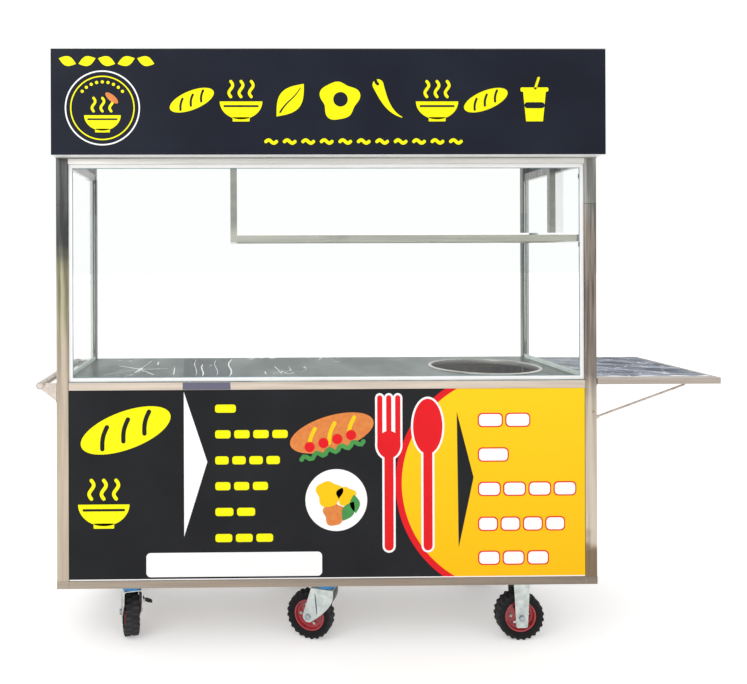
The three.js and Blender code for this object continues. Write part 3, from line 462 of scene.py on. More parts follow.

# %% [markdown]
# ## Finishes
# The cart is brushed stainless steel: sheet and square tube rubbed along its length with a belt,
# which leaves fine lines, and then a thin clear film is left on it for the way to its owner. The
# lines of such a belt are about 0.1 mm wide, too fine to show, so they are drawn a few millimetres
# wide and several hundred long. Rolled sheet is never quite flat, which makes its reflections
# wander. The reflections are painted into the colour: the tubes are painted warm near the ground
# and cooler near the roof, with long dark streaks.

# %% Brushed stainless steel
LINE_MM, STREAK_MM, CLOUD_MM, WAVE_MM = 3.0, 15.0, 150.0, 260.0
LINE_LENGTH, STREAK_LENGTH, WANDER_M = 90.0, 26.0, 0.2
ROOF_M, REAR_SHADE, STEEL_ROUGHNESS = 2.0, 0.62, 0.32
LEFT_M, RIGHT_M, FRONT_M, REAR_M = -1.1, 0.75, -0.15, 0.15


def brushed_steel(part, steps, along, dark=1.0, right=1.0):
    """Stainless steel 1.4301 with belt-rubbed lines along one axis: 0 for X, 1 for Y, 2 for Z.
    The steps are heights in metres and the shade that the steel mirrors there, a painted reflection
    in its colour. The street is darker than the sky, so long dark streaks of painted reflection lie
    along the tubes, more of them towards the roof, and the rear of the cart, which faces a wall, gets
    painted shade that makes it darker than its front. The number right is the share of the light that
    is left at the cart's right end, a painted shade."""
    name, shade = "brushed_stainless_" + part, steps[0][1]
    made, tree, shader, place = finish(name, shade, STEEL_ROUGHNESS, 1.0)
    stretch, run = [1.0, 1.0, 1.0], [1.0, 1.0, 1.0]
    stretch[along], run[along] = LINE_LENGTH, STREAK_LENGTH
    lines = noise(tree, place, LINE_MM, 3.0, stretch, 0.7)
    streaks = noise(tree, place, STREAK_MM, 2.0, run, 0.6)
    cloud = noise(tree, place, CLOUD_MM, 3.0)
    across, depth, height = node(tree, "SeparateXYZ", {"Vector": place}).outputs
    patchy = maths(tree, "MULTIPLY_ADD", cloud, WANDER_M, -WANDER_M / 2)
    climb = between(tree, maths(tree, "ADD", height, patchy), 0.0, ROOF_M)
    # Painted reflection: the shade that the steel mirrors at each height
    front = ramp(tree, climb, [(level / ROOF_M, linear(shade)) for level, shade in steps])
    rightwards = between(tree, across, LEFT_M, RIGHT_M)
    # Painted shade: less light towards the cart's right end
    painted_shade_at_right = ramp(tree, rightwards, [(0.0, grey(1.0)), (1.0, grey(right))])
    front = times(tree, front, painted_shade_at_right)
    walled = between(tree, depth, FRONT_M, REAR_M)
    # Painted shade at the rear of the cart
    base = mixed(tree, walled, front, times(tree, front, grey(REAR_SHADE)))
    lined = ramp(tree, lines, [(0.3, grey(0.86)), (0.7, grey(1.0))])
    rubbed = times(tree, base, lined)
    # Painted reflection: dark streaks of the street along the tubes
    painted_reflection = ramp(tree, streaks, [(0.4, grey(0.34)), (0.52, grey(0.8)), (0.62, grey(1.12))])
    reflection_amount = between(tree, height, 0.7, 1.2, 0.22 * dark, 0.95 * dark)
    feed(shader,
         Base_Color=mixed(tree, reflection_amount, rubbed, times(tree, rubbed, painted_reflection)),
         Roughness=between(tree, cloud, 0.3, 0.7, STEEL_ROUGHNESS - 0.06, STEEL_ROUGHNESS + 0.08))
    waves = noise(tree, place, WAVE_MM, 1.0)
    bump(tree, shader, maths(tree, "MULTIPLY_ADD", lines, 0.02, waves), 1.5)
    return made


# Each copy below is the same steel, with light and shade painted in for where its part stands: the steps of shade
# by height and the dark streaks are painted reflections, and the darker right end of the base frame is painted
# shade. The window rail and the counter edge are painted lighter, the rear posts darker, the left post dark above
# 1.36 m and the right post dark at its foot.
steel_x = brushed_steel("along_x", [(0.3, "ADA092"), (1.5, "A3A39C")], 0, 0.7)
steel_base = brushed_steel("base_frame", [(0.3, "ADA092"), (1.5, "A3A39C")], 0, 0.7, 0.6)
steel_edge = brushed_steel("shelf_edge", [(0.8, "BEB2A7"), (1.0, "BEB2A7")], 0, 0.45)
steel_sheet = brushed_steel("roof_sheet", [(1.2, "C6C4BA"), (1.9, "BEBEBA")], 0, 0.2)
steel_hung = brushed_steel("hangers", [(1.38, "BDBBB0"), (1.43, "979890"), (1.9, "979890")], 0, 0.2)
steel_counter = brushed_steel("counter_edge", [(0.8, "D8CABB"), (1.0, "D8CABB")], 0, 0.45)
steel_y = brushed_steel("along_y", [(0.8, "DCD0C6"), (1.0, "DCD0C6")], 1, 0.5)
steel_z = brushed_steel("along_z", [(0.3, "C6B8A6"), (1.5, "A4A49F")], 2, 0.8)
steel_left = brushed_steel("left_post", [
    (1.0, "C3B5A2"), (1.12, "B5AF90"), (1.28, "ACA78A"), (1.36, "5F6060")], 2, 0.8)
steel_right = brushed_steel("right_post", [
    (0.34, "86745F"), (0.37, "CCBFAE"), (0.84, "CCBFAE"), (0.9, "958A80"), (1.4, "978D83"),
    (1.5, "A09C96")], 2)
steel_shaded = brushed_steel("rear_posts", [(0.3, "999B87"), (1.5, "818E87")], 2)
steel_painted_light = brushed_steel("window_rail", [(1.6, "E2E0DA"), (1.7, "E2E0DA")], 0, 0.1)
print("belt lines drawn", LINE_MM, "mm wide")

# %% [markdown]
# The worktop and the folding shelf are the same sheet with its protective film still on. The film
# clings, but it lifts in long wrinkles that catch the light, and it makes the steel below look
# greenish or bluish and darker. Thin ridges with a bump of their own give that, and the light they
# catch is a painted highlight: they are white in the base colour.

# %% Film-covered steel
EDGE_TINT, RIDGE_MM = 0.42, 1.2


def filmed_steel(part, dark_shade, light_shade, wrinkle_mm, stretch, bare, turn=0.0,
                 patch_mm=170.0, patch_stretch=(1.0, 3.0, 1.0)):
    """Stainless sheet under clear polyethylene film: dark patches where it clings, thin ridges where
    it lifts, painted white as highlights, none of them where a slow noise stays under the number
    bare. The edge tint holds back the mirror that any metal becomes when it is seen along its face,
    because the film breaks that mirror up."""
    tint = grey(EDGE_TINT)
    made, tree, shader, place = finish("filmed_stainless_" + part, dark_shade, 0.3, 1.0,
                                       Specular_Tint=tint)
    rotation = (0.0, 0.0, turn)
    put = node(tree, "Mapping", {"Vector": place, "Rotation": rotation}).outputs["Vector"]
    push = {0: noise(tree, put, 160.0, 2.0), 1: (0.12, 0.12, 0.12), 2: put}
    pushed = node(tree, "VectorMath", push, operation="MULTIPLY_ADD").outputs["Vector"]
    ridges = noise(tree, pushed, wrinkle_mm, 1.0, stretch)
    thin = ramp(tree, ridges, [(0.485, grey(0.0)), (0.5, grey(1.0)), (0.515, grey(0.0))])
    patches = between(tree, noise(tree, put, patch_mm, 3.0, patch_stretch), 0.38, 0.62)
    ground = mixed(tree, patches, linear(dark_shade), linear(light_shade))
    some = between(tree, noise(tree, put, 210.0, 1.0), bare, bare + 0.1)
    ridge_glint = maths(tree, "MULTIPLY", thin, some)
    # Painted highlight: white in the base colour where a ridge lifts
    feed(shader,
         Base_Color=mixed(tree, ridge_glint, ground, linear("FFFFFF")),
         Specular_Tint=mixed(tree, ridge_glint, tint, grey(1.0)))
    bump(tree, shader, ridge_glint, RIDGE_MM)
    return made


LONG = (1.0, 7.0, 1.0)
worktop_film = filmed_steel("worktop", "84918E", "B2BDB9", 60.0, LONG, 0.56)
shelf_film = filmed_steel("shelf", "606B84", "D3DDF0", 36.0, (2.5, 1.0, 1.0), 0.32, 0.5,
                          48.0, (2.6, 1.0, 1.0))
double_film = filmed_steel("second_layer", "5A656A", "818D92", 60.0, LONG, 0.6)
rail_film = filmed_steel("over_the_rail", "6A687A", "7B788B", 60.0, (1.0, 1.0, 1.0), 1.5)
print("film ridges every 36 to 60 mm")

# %% [markdown]
# Casters, hinge and stays are pressed mild steel, zinc plated and blue passivated. The plating is
# bright with a cold tint, and slightly uneven in colour where the bath ran off. Sheared edges are
# brighter, and the welds on the cart keep a straw-coloured heat tint.

# %% Zinc plate, welds and fasteners
def zinc_plate(name, shade, tint, roughness):
    """Electroplated zinc, blue passivated: soft clouds of tint and a fine matt grain."""
    made, tree, shader, place = finish(name, shade, roughness, 1.0)
    cloud = noise(tree, place, 22.0, 3.0)
    grain = noise(tree, place, 2.2, 2.0)
    base = mixed(tree, between(tree, cloud, 0.35, 0.7), linear(shade), linear(tint))
    speckle = ramp(tree, grain, [(0.35, grey(0.9)), (0.65, grey(1.0))])
    feed(shader,
         Base_Color=times(tree, base, speckle),
         Roughness=between(tree, grain, 0.3, 0.7, roughness - 0.06, roughness + 0.1))
    bump(tree, shader, grain, 0.05)
    return made


zinc = zinc_plate("blue_passivated_zinc_plate", "D3D9D6", "B2BDBC", 0.36)
rod_steel = zinc_plate("drawn_wire_rod", "D4C8BD", "B3A396", 0.38)
# Painted shade: darker zinc for a bar along the crease of each fork leg
zinc_painted_crease_shade = zinc_plate("zinc_with_painted_crease_shade", "6E7A82", "55616A", 0.5)
zinc_worn = zinc_plate("handled_zinc_plate", "B4BCC0", "8E979C", 0.42)
weld_steel = zinc_plate("heat_tinted_weld_bead", "B9A98E", "8F7F68", 0.4)
dark_bolt = zinc_plate("black_oxide_bolt", "4B4A48", "343536", 0.5)
print("zinc clouds 22 mm across")

# %% [markdown]
# Tyres are carbon-black rubber, matt, and lighter on the lugs, partly with dust and partly with a
# painted highlight. Rims are pressed steel in red stove enamel, a smooth paint with a slight orange
# peel. Pedals and plugs are moulded nylon, and the ring that keeps dust out of each swivel bearing
# is blue moulded polypropylene.

# %% Rubber, enamel and moulded plastic
def speckled(name, shade, other, roughness, grain_mm, depth_mm, cloud_mm=60.0, **sockets):
    """A painted or moulded surface: broad soft variation of colour and a fine grain of relief."""
    made, tree, shader, place = finish(name, shade, roughness, 0.0, **sockets)
    cloud = noise(tree, place, cloud_mm, 4.0)
    grain = noise(tree, place, grain_mm, 2.0)
    low, high = max(roughness - 0.05, 0.02), min(roughness + 0.08, 1.0)
    feed(shader,
         Base_Color=mixed(tree, between(tree, cloud, 0.35, 0.72), linear(shade), linear(other)),
         Roughness=between(tree, grain, 0.3, 0.7, low, high))
    bump(tree, shader, grain, depth_mm)
    return made


def dusty_highlit_rubber(name, shade, dust_and_highlight_shade):
    """Tyre rubber: black in the grooves and greyed on the lugs, partly by road dust and partly as a
    painted highlight. Each point of a tyre carries the attribute dust, which holds both, and a soft
    noise takes the grey off in places."""
    made, tree, shader, place = finish(name, shade, 0.72, 0.0, Specular_IOR_Level=0.35)
    dust = node(tree, "Attribute", attribute_name="dust").outputs["Fac"]
    left_on = between(tree, noise(tree, place, 26.0, 4.0), 0.3, 0.6, 0.35)
    share = maths(tree, "MULTIPLY", dust, left_on)
    # Partly painted highlight: the lugs are lighter than the grooves
    feed(shader, Base_Color=mixed(tree, share, linear(shade), linear(dust_and_highlight_shade)))
    bump(tree, shader, noise(tree, place, 1.6, 2.0), 0.12)
    return made


rubber = dusty_highlit_rubber("carbon_black_rubber", "111113", "353437")
red_enamel = speckled("red_stove_enamel", "BC3A40", "96292F", 0.28, 5.0, 0.03, 40.0,
                      Coat_Weight=0.5, Coat_Roughness=0.1)
black_nylon = speckled("moulded_black_nylon", "1A1A1B", "262627", 0.45, 1.4, 0.05)
blue_plastic = speckled("blue_polypropylene", "3B97DA", "2E86CB", 0.35, 2.0, 0.03)
white_powder = speckled("white_powder_coat", "FFFFFF", "FAFAF8", 0.42, 1.2, 0.04, 120.0)
# Painted highlight: folds and lifted edges of clear film are white where they catch the light
painted_fold_highlight = speckled("film_fold_painted_highlight", "FFFFFF", "F4F8FA", 0.12, 3.0, 0.02)
grey_seal = speckled("grey_glazing_seal", "9DAFB4", "84979C", 0.6, 2.0, 0.05)
# Painted highlight: the glass channels are pale green-white for the highlights and the green glass edge seen along
# them
channel_painted_highlight = speckled("glass_channel_painted_highlight", "E8F1EC", "D2DFD9", 0.35, 3.0, 0.02)
print("rubber grain 1.6 mm")

# %% [markdown]
# The panes are 5 mm float glass, which is faintly green. A pane bends light twice by the same
# amount, so it looks clear. Light that goes through to the worktop is let straight past, because a
# renderer finds such light badly through solid glass.

# %% Float glass
clear_glass, tree, shader, _ = finish("float_glass_5_mm", "FDFFFE", 0.0, 0.0,
                                      Transmission_Weight=1.0, IOR=1.5)
past = node(tree, "BsdfTransparent", {"Color": linear("FDFEFE")})
rays = node(tree, "LightPath").outputs
both = node(tree, "MixShader", {0: rays["Is Shadow Ray"], 1: shader.outputs[0], 2: past.outputs[0]})
fill(tree.nodes["Material Output"].inputs["Surface"], both.outputs[0])
print("glass index 1.5")

# %% [markdown]
# The lower board and the sign are sheets covered in printed film: a black ground below, a navy
# black one above. Their pictograms are cut from coloured vinyl film, which is smooth, even in
# colour and slightly glossy. The yellow field of the lower board runs from a deeper foot to a
# slightly paler top, as the print does.

# %% Printed film and cut vinyl
board_black = speckled("printed_film_black", "17181B", "202125", 0.4, 2.5, 0.03, 240.0,
                       Specular_IOR_Level=0.16)
sign_navy = speckled("printed_film_navy_black", "151926", "1D222E", 0.42, 2.5, 0.03, 260.0,
                     Specular_IOR_Level=0.14)
lemon_vinyl, red_vinyl = [
    speckled("cut_vinyl_" + colour, shade, other, 0.4, 3.0, 0.01, Specular_IOR_Level=0.2)
    for colour, shade, other in (("lemon", "FFFA00", "FBF400"), ("red", "EB1620", "E2141E"))
]
white_vinyl = speckled("cut_vinyl_white", "FFFFFF", "FCFCFC", 0.35, 3.0, 0.01)
orange_vinyl = speckled("cut_vinyl_crust_orange", "E58A3C", "D9762E", 0.4, 9.0, 0.02, 14.0)
green_vinyl = speckled("cut_vinyl_leaf_green", "3F9A44", "2F8338", 0.4, 3.0, 0.02)

FIELD_LOW_M, FIELD_HIGH_M = 0.25, 0.86
sun_vinyl, tree, shader, place = finish("cut_vinyl_sun_yellow", "FFCE0A", 0.4,
                                        Specular_IOR_Level=0.2)
height = node(tree, "SeparateXYZ", {"Vector": place}).outputs["Z"]
share = between(tree, height, FIELD_LOW_M, FIELD_HIGH_M)
feed(shader, Base_Color=mixed(tree, share, linear("FFC400"), linear("FFD414")))
print("eight colours of film and vinyl")

# %% [markdown]
# Many CAD nodes stay as they are, and only get the finish of their real material; the steel copies and the glass
# channels carry painted light and shade.

# %% Finishes of the CAD nodes that stay
KEPT = {
    steel_x: ["cabinet_floor", "front_roof_rail", "rear_roof_rail"],
    steel_base: ["base_frame"],
    steel_sheet: ["roof_sheet"],
    steel_hung: ["hanging_shelf_frame"],
    steel_counter: ["counter_frame"],
    steel_painted_light: ["front_window_rail"],
    steel_left: ["front_left_post", "left_roof_end"],
    steel_right: ["front_right_post"],
    channel_painted_highlight: ["left_glass_channel", "right_glass_channel"],
    steel_shaded: ["rear_left_post", "rear_right_post"],
    steel_z: ["left_side_panel", "right_side_panel", "right_roof_end",
              "left_sliding_door", "right_sliding_door"],
    worktop_film: ["worktop"],
    board_black: ["front_board"],
    sign_navy: ["left_fascia", "right_fascia"],
    white_powder: ["front_glazing_frame"],
    clear_glass: ["front_glass", "left_end_glass", "right_end_glass", "shelf_glass"],
}
for cover, names in KEPT.items():
    for name in names:
        mesh = frame["nodes"][name].data
        mesh.materials.clear()
        mesh.materials.append(cover)
print("CAD nodes with a finish:", sum(len(names) for names in KEPT.values()))

# %% [markdown]
# ## Casters
# Six casters carry the cart: four swivel, two are fixed, and the two at the left have a side
# brake. Each part is made once in the caster's own millimetres, with X ahead, Y across and Z up
# from the floor, and then turned and moved to where the joints say the kingpin and the axle are.

# %% Where each caster stands
JOINTS = {j["name"]: to_cart(j["pos_m"]) for j in frame["joints"] if "pos_m" in j}
SWIVELS = ["front_left", "rear_left", "front_middle", "rear_middle"]
FIXED = ["front_right", "rear_right"]
AXLE_Z = float(JOINTS["front_left_wheel"][2])
TRAIL = float(np.hypot(*(JOINTS["front_left_swivel"] - JOINTS["front_left_wheel"])[:2]))


def station_of(place):
    """The kingpin of a swivel caster, or the axle of a fixed one."""
    return JOINTS.get(place + "_swivel", JOINTS[place + "_wheel"])


def heading_of(place):
    """Radians that a caster is turned by: the angle of the line from its axle to its kingpin."""
    ahead = station_of(place) - JOINTS[place + "_wheel"]
    return math.atan2(ahead[1], ahead[0])


def placed(shape, place):
    """A caster's part turned so that its kingpin is ahead of its axle, and moved to its station."""
    turn = math.degrees(heading_of(place))
    return moved(turned(shape, turn), station_of(place) * (1, 1, 0))


def at_axle(shape, place):
    """A part made round its own axle, moved back by the trail and up to the axle, and placed."""
    back = -TRAIL if place in SWIVELS else 0.0
    return placed(moved(shape, (back, 0, AXLE_Z)), place)


print("axles", round(AXLE_Z, 2), "mm up, trail", round(TRAIL, 2), "mm")

# %% [markdown]
# ### Tyres
# The tyre is moulded with two rows of square lugs, the lugs of one side facing the gaps of the
# other, and raised rings round its side wall. It is one section carried round the axle. Each point
# of the section has a base place and a push, and the push is multiplied by a wave that goes round
# the wheel once per lug, clipped so that it has flat tops and steep flanks.

# %% Tyres
LUGS, STEPS_PER_LUG, LUG_WAVE = 24, 12, 2.6
DUST_AND_HIGHLIGHT_FROM, DUST_AND_HIGHLIGHT_BAND = 74.0, 5.0
# Half across (mm), radius (mm), push outwards across, push outwards along the radius
TYRE_HALF = np.array([
    (19.0, 53.8, 0, 0), (20.8, 54.2, 0, 0), (22.3, 55.6, 0, 0), (22.8, 57.4, 0, 0),
    (22.0, 58.2, 0, 0), (22.2, 59.0, 0, 0), (23.7, 59.8, 0, 0), (24.0, 61.4, 0, 0),
    (23.0, 62.2, 0, 0), (23.2, 63.0, 0, 0), (24.5, 63.8, 0, 0), (24.6, 65.6, 0, 0),
    (23.4, 66.6, 0, 0), (23.3, 67.4, 0.3, 0), (23.3, 68.2, 1.4, 0), (23.0, 71.2, 1.8, 0.4),
    (22.4, 74.0, 2.1, 1.6), (21.2, 75.9, 1.8, 2.9), (19.4, 76.4, 1.0, 3.1), (12.0, 76.6, 0, 2.9),
    (4.4, 76.7, 0, 2.8), (3.2, 76.7, 0, 2.2), (2.2, 76.7, 0, 0.3),
])


def tyre():
    """Section times circle: place = base + push * lug, with lug = 0.5 + 2.6 cos(24 angle) held
    between 0 and 1, and the cosine turned half a lug round for the other side."""
    angle = np.arange(LUGS * STEPS_PER_LUG) * 2 * np.pi / (LUGS * STEPS_PER_LUG)
    half, base, push_across, push_out = TYRE_HALF.T
    sides = []
    for side, phase in ((1, 0.0), (-1, np.pi)):
        lug = np.clip(0.5 + LUG_WAVE * np.cos(LUGS * angle + phase), 0, 1)[:, None]
        radius = base + push_out * lug
        around = [radius * np.cos(angle)[:, None], side * (half + push_across * lug),
                  radius * np.sin(angle)[:, None]]
        sides.append(np.stack(around, -1)[:, ::side])
    points = np.concatenate(sides, 1)
    return points.reshape(-1, 3), grid_faces(len(angle), points.shape[1], True, True)


def store_dust_and_highlight(mesh, place):
    """The attribute dust on every point, the share of dust and painted highlight: 0 up to 74 mm from
    the axle and 1 from 79 mm on. The distance from the axle is that from the wheel's centre without
    its share along the axle."""
    turn = heading_of(place)
    spread = points_of(mesh) - to_row(JOINTS[place + "_wheel"])
    along = spread @ np.array([-math.sin(turn), math.cos(turn), 0.0])
    distance = np.sqrt((spread ** 2).sum(1) - along ** 2) * 1000
    dust = mesh.attributes.new("dust", "FLOAT", "POINT")
    dust.data.foreach_set("value", np.clip((distance - DUST_AND_HIGHLIGHT_FROM) / DUST_AND_HIGHLIGHT_BAND, 0, 1))


tyre_shape = tyre()
for place in SWIVELS + FIXED:
    shape = at_axle(tyre_shape, place)
    made = piece(place + "_lugged_tyre", shape, rubber, place + "_tyre", True,
                 sharp=28)
    store_dust_and_highlight(made.data, place)
print("tyre points", len(tyre_shape[0]))

# %% [markdown]
# ### Rims
# A rim is two pressed steel shells in red enamel with a turned hub between them. The section is
# turned round the axle with 96 sides, dished towards one side, three round windows are cut, and
# three plated bolts between the windows hold the shells together.

# %% Rims
RIM = [
    (5.3, -28.5), (12.6, -28.5), (14, -27.4), (14, -12.8), (15.4, -11.4), (22, -10.2), (32, -6.6),
    (38, -3.9), (42.4, -3.2), (45.2, -4.4), (46.6, -7.4), (47.4, -17.2), (48.6, -18.7),
    (52.4, -18.9), (53.5, -17.8), (53.5, -14), (51.2, -11), (51.2, 11), (53.5, 14), (53.5, 17.8),
    (52.4, 18.9), (48.6, 18.7), (47.4, 17.2), (46.6, 7.4), (45.2, 4.2), (42.4, 2.8), (38, 2.1),
    (32, -0.6), (22, -4.2), (15.4, -5.4), (14, -4.2), (14, 27.4), (12.6, 28.5), (5.3, 28.5),
]
RIM_BOLT = [(0, -15.5), (2.6, -15.5), (3, -15), (3, -12.5), (5.2, -12.5), (5.8, -11.6), (5.8, -5),
            (3, -5), (3, 3), (5.8, 3), (5.8, 6.4), (5.0, 7.4), (0, 7.4)]
THIRDS = np.arange(3) * 2 * np.pi / 3

windows = [plate(circle(u, v, 6.2, 28), -25, 25, "y") for u, v in arc(0, 0, 30, THIRDS)]
rim_shape = carved(lathe(RIM, 96, "y"), *windows)
bolt_places = [(u, 0, v) for u, v in arc(0, 0, 31, np.pi - THIRDS)]
rim_bolts = copies(lathe(RIM_BOLT, 6, "y"), bolt_places)
for place in SWIVELS + FIXED:
    owner = place + "_rim"
    piece(place + "_pressed_rim", at_axle(rim_shape, place), red_enamel, owner, True)
    piece(place + "_rim_bolts", at_axle(rim_bolts, place), zinc, owner)
print("rim points", len(rim_shape[0]))

# %% [markdown]
# ### Swivel forks
# A swivel fork is pressed from one 3 mm sheet: a channel bent over the wheel and trimmed to the
# side view of its legs. The same happens here: a channel section is carried along X, and only what
# lies inside the trimmed side view is kept. An upright crease stiffens each leg, and its shade is
# painted on: a thin raised bar of dark zinc lies along it.

# %% Swivel forks
FORK_IN, FORK_OUT, CROWN_TOP, CROWN_LOW = 29.0, 32.0, 185.4, 181.9
EYE_RADIUS, WASHER_OUT, HEAD_RADIUS = 19, 33.4, 9.6
BRAKE_PIN = np.array([-TRAIL / 2, FORK_OUT + 8, 128.0])


def arch(half, top, radius, foot):
    """Half a channel's outline: up one side, a quarter circle at each shoulder, down the other."""
    right = arc(half - radius, top - radius, radius, np.linspace(0, QUARTER, 7))
    return np.concatenate([[(half, foot)], right, right[::-1] * (-1, 1), [(-half, foot)]])


def ball(radii):
    """An ellipsoid: a half circle turned once round, then each axis stretched to its own radius."""
    points, faces = lathe(arc(0, 0, 1, np.linspace(-QUARTER, QUARTER, 9)), 20)
    return points * np.asarray(radii, float), faces


def channel(top, low, shoulder):
    """The sheet bent over the wheel: an outer arch, and an inner one that runs back."""
    outer = arch(FORK_OUT, top, shoulder, 30.0)
    inner = arch(FORK_IN, low, shoulder - 3.0, 30.0)[::-1]
    return plate(np.concatenate([outer, inner]), -95, 60, "x")


def fork_side():
    """The leg in X and Z: straight behind down to a waist, an arc of 19 mm round the axle, and a
    bulging curve in front that is a weighted mean of three points."""
    eye = arc(-TRAIL, AXLE_Z, EYE_RADIUS, np.linspace(0.88 * math.pi, 1.75 * math.pi, 16))
    t = np.linspace(0, 1, 16)[1:, None]
    bulge, crown = np.array([40, 127]), np.array([34, 172])
    front = (1 - t) ** 2 * eye[-1] + 2 * t * (1 - t) * bulge + t ** 2 * crown
    back = [(-42, CROWN_TOP + 1), (-TRAIL - 13.5, AXLE_Z + 21)]
    return np.concatenate([back, eye, front, [(34, CROWN_TOP + 1)]])


def hexagon_head(start, end):
    """A six-sided head along Y with its outer corners turned off."""
    edge = end - math.copysign(1.0, end - start)
    corners = [(HEAD_RADIUS, start), (HEAD_RADIUS, edge), (HEAD_RADIUS - 1.3, end)]
    return lathe([(0, start), *corners, (0, end)], 6, "y")


def axle_bolt():
    """A through bolt: shank, washer and head at one side, washer, nut and thread at the other."""
    shank = lathe([(0, -33), (5, -33), (5, 40.5), (4.2, 41.2), (0, 41.2)], 24, "y")
    washers = [lathe(collar(5.1, 10.6, low, high), 28, "y")
               for low, high in ((-WASHER_OUT, -FORK_OUT), (FORK_OUT, WASHER_OUT))]
    return joined(shank, *washers, hexagon_head(-WASHER_OUT, -38.2), hexagon_head(WASHER_OUT, 38.6))


def legs_of(bent, side_view):
    """What a bent channel keeps of its sheet when it is trimmed to a side view."""
    return carved(bent, plate(side_view, -45, 45, "y"), how="INTERSECT")


bore = plate(circle(0, 0, 6.5), 170, 195)
legs = carved(legs_of(channel(CROWN_TOP, CROWN_LOW, 10.0), fork_side()), bore)
# Painted shade: a thin raised bar of dark zinc along the crease of each leg
crease = turned(ball((38, 1.0, 2.6)), -95.5, "y")
creases = copies(crease, [(-TRAIL + 29, side * FORK_OUT, 128) for side in (-1, 1)])
ears = [block((x - TRAIL / 2, 31, 122), (x + 4 - TRAIL / 2, 44.5, 134), 1.0) for x in (-15, 11)]
pin = moved(lathe(collar(0, 3, -15.6, 15.6), 20, "x"), BRAKE_PIN)
for place in SWIVELS:
    owner = place + "_fork"
    shape = joined(legs, *ears, pin) if "left" in place else legs
    piece(place + "_pressed_fork", placed(shape, place), zinc, owner, True, 0.7)
    piece(place + "_fork_crease_shade", placed(creases, place), zinc_painted_crease_shade, owner)
    piece(place + "_axle_bolt", at_axle(axle_bolt(), place), zinc_worn, owner)
print("fork points", len(legs[0]))

# %% [markdown]
# ### Top plates, swivel bearings and fixed forks
# Each caster is bolted up through four slots in its top plate. Below a swivel plate sit the
# raceway, the blue ring that keeps dust out of it, and the kingpin with its nut. A fixed caster
# has the same plate with two straight legs pressed down from it.

# %% Top plates, dust rings and fixed forks
PLATE_LOW, PLATE_TOP = 207.7, 211.7
SLOTS = [(x, y) for x in (-42.0, 42.0) for y in (-32.0, 32.0)]
RACEWAY = [(0, 185.7), (29, 185.7), (30, 186.7), (30, 200), (28.4, 201.4), (30, 202.8),
           (30, 207.8), (0, 207.8)]
DUST_RING = [(30.3, 185.8), (35, 185.8), (36, 186.8), (36, 193.6), (34.4, 195.6), (30.3, 195.6)]
NUT = [(0, 176.6), (8.4, 176.6), (9.8, 177.8), (9.8, 181.6), (0, 181.6)]
BOLT_HEAD = [(0, -6.6), (6.4, -6.6), (7.6, -5.6), (7.6, -1.5), (0, -1.5)]


def top_plate():
    """A round-cornered plate with a slot near each corner, where two half circles face."""
    blank = plate(rounded(-55, -45, 55, 45, 8), PLATE_LOW, PLATE_TOP)
    return carved(blank, *[
        plate(rounded(x - 6.5, y - 4.5, x + 6.5, y + 4.5, 4.49), PLATE_LOW - 2, PLATE_TOP + 2)
        for x, y in SLOTS
    ])


def fixed_side():
    """The leg in X and Z: it narrows downwards to a foot with round corners."""
    corner = arc(13, AXLE_Z - 26, 7, np.linspace(-QUARTER, 0, 5))
    return np.concatenate([[(28, 214)], corner[::-1], corner * (-1, 1), [(-28, 214)]])


plain_plate, dust_ring = top_plate(), lathe(DUST_RING, 64)
bearing = joined(lathe(RACEWAY), lathe(collar(0, 6, 181, 186), 32), lathe(NUT, 6))
washer, shank = lathe(collar(4.2, 8.6, -1.5, 0), 28), lathe(collar(0, 4, -1.5, 3.9), 20)
plate_bolt = joined(washer, lathe(BOLT_HEAD, 6), shank)
plate_bolts = copies(plate_bolt, [(x, y, PLATE_LOW) for x, y in SLOTS])
for place in SWIVELS:
    station = station_of(place) * (1, 1, 0)
    owner = place + "_caster_plate"
    shape = moved(joined(plain_plate, bearing), station)
    piece(place + "_top_plate", shape, zinc, owner, True, 0.5)
    piece(place + "_dust_ring", moved(dust_ring, station), blue_plastic, owner)
    piece(place + "_plate_bolts", moved(plate_bolts, station), zinc_worn, owner)

fixed_fork = joined(plain_plate, legs_of(channel(208.6, 204.6, 8.0), fixed_side()))
for place in FIXED:
    owner = place + "_fork"
    piece(place + "_pressed_fork", placed(fixed_fork, place), zinc, owner, True, 0.6)
    piece(place + "_axle_bolt", at_axle(axle_bolt(), place), zinc_worn, owner)
    piece(place + "_plate_bolts", placed(plate_bolts, place), zinc_worn, owner)
print("top plate points", len(plain_plate[0]))

# %% [markdown]
# ### Brake pedals
# The pedal is moulded nylon on a steel pin. A foot on its paddle turns it down, and its heel then
# presses on the tyre. It is a hub, a paddle that widens and then narrows, and three grip ribs.

# %% Brake pedals
REST_ANGLE = -20.0
PADDLE = [(-10, 3.6), (10, 3.6), (10, 9), (14, 12.5), (15, 15), (11.6, 30), (9.6, 33),
          (-9.6, 33), (-11.6, 30), (-15, 15), (-14, 12.5), (-10, 9)]

hub = tube(circle(0, 0, 6), circle(0, 0, 3.3), -10, 10, "x")
ribs = [block((-width, y, 1.5), (width, y + 1.6, 3.2), 0.4)
        for y, width in ((17, 12), (21.5, 11), (26, 10))]
pedal = moved(turned(joined(hub, plate(PADDLE, -2, 2), *ribs), REST_ANGLE, "x"), BRAKE_PIN)
for place in ("front_left", "rear_left"):
    piece(place + "_foot_pedal", placed(pedal, place), black_nylon, place + "_brake_pedal",
          True, 0.5)
print("pedal rests at", REST_ANGLE, "degrees")

# %% [markdown]
# ## Fittings of the cabinet
# The pot hole has a rolled rim that was spun from sheet, so it is a turned section. The push handle
# is a drawn round tube on two gussets that are welded to feet on the corner posts.

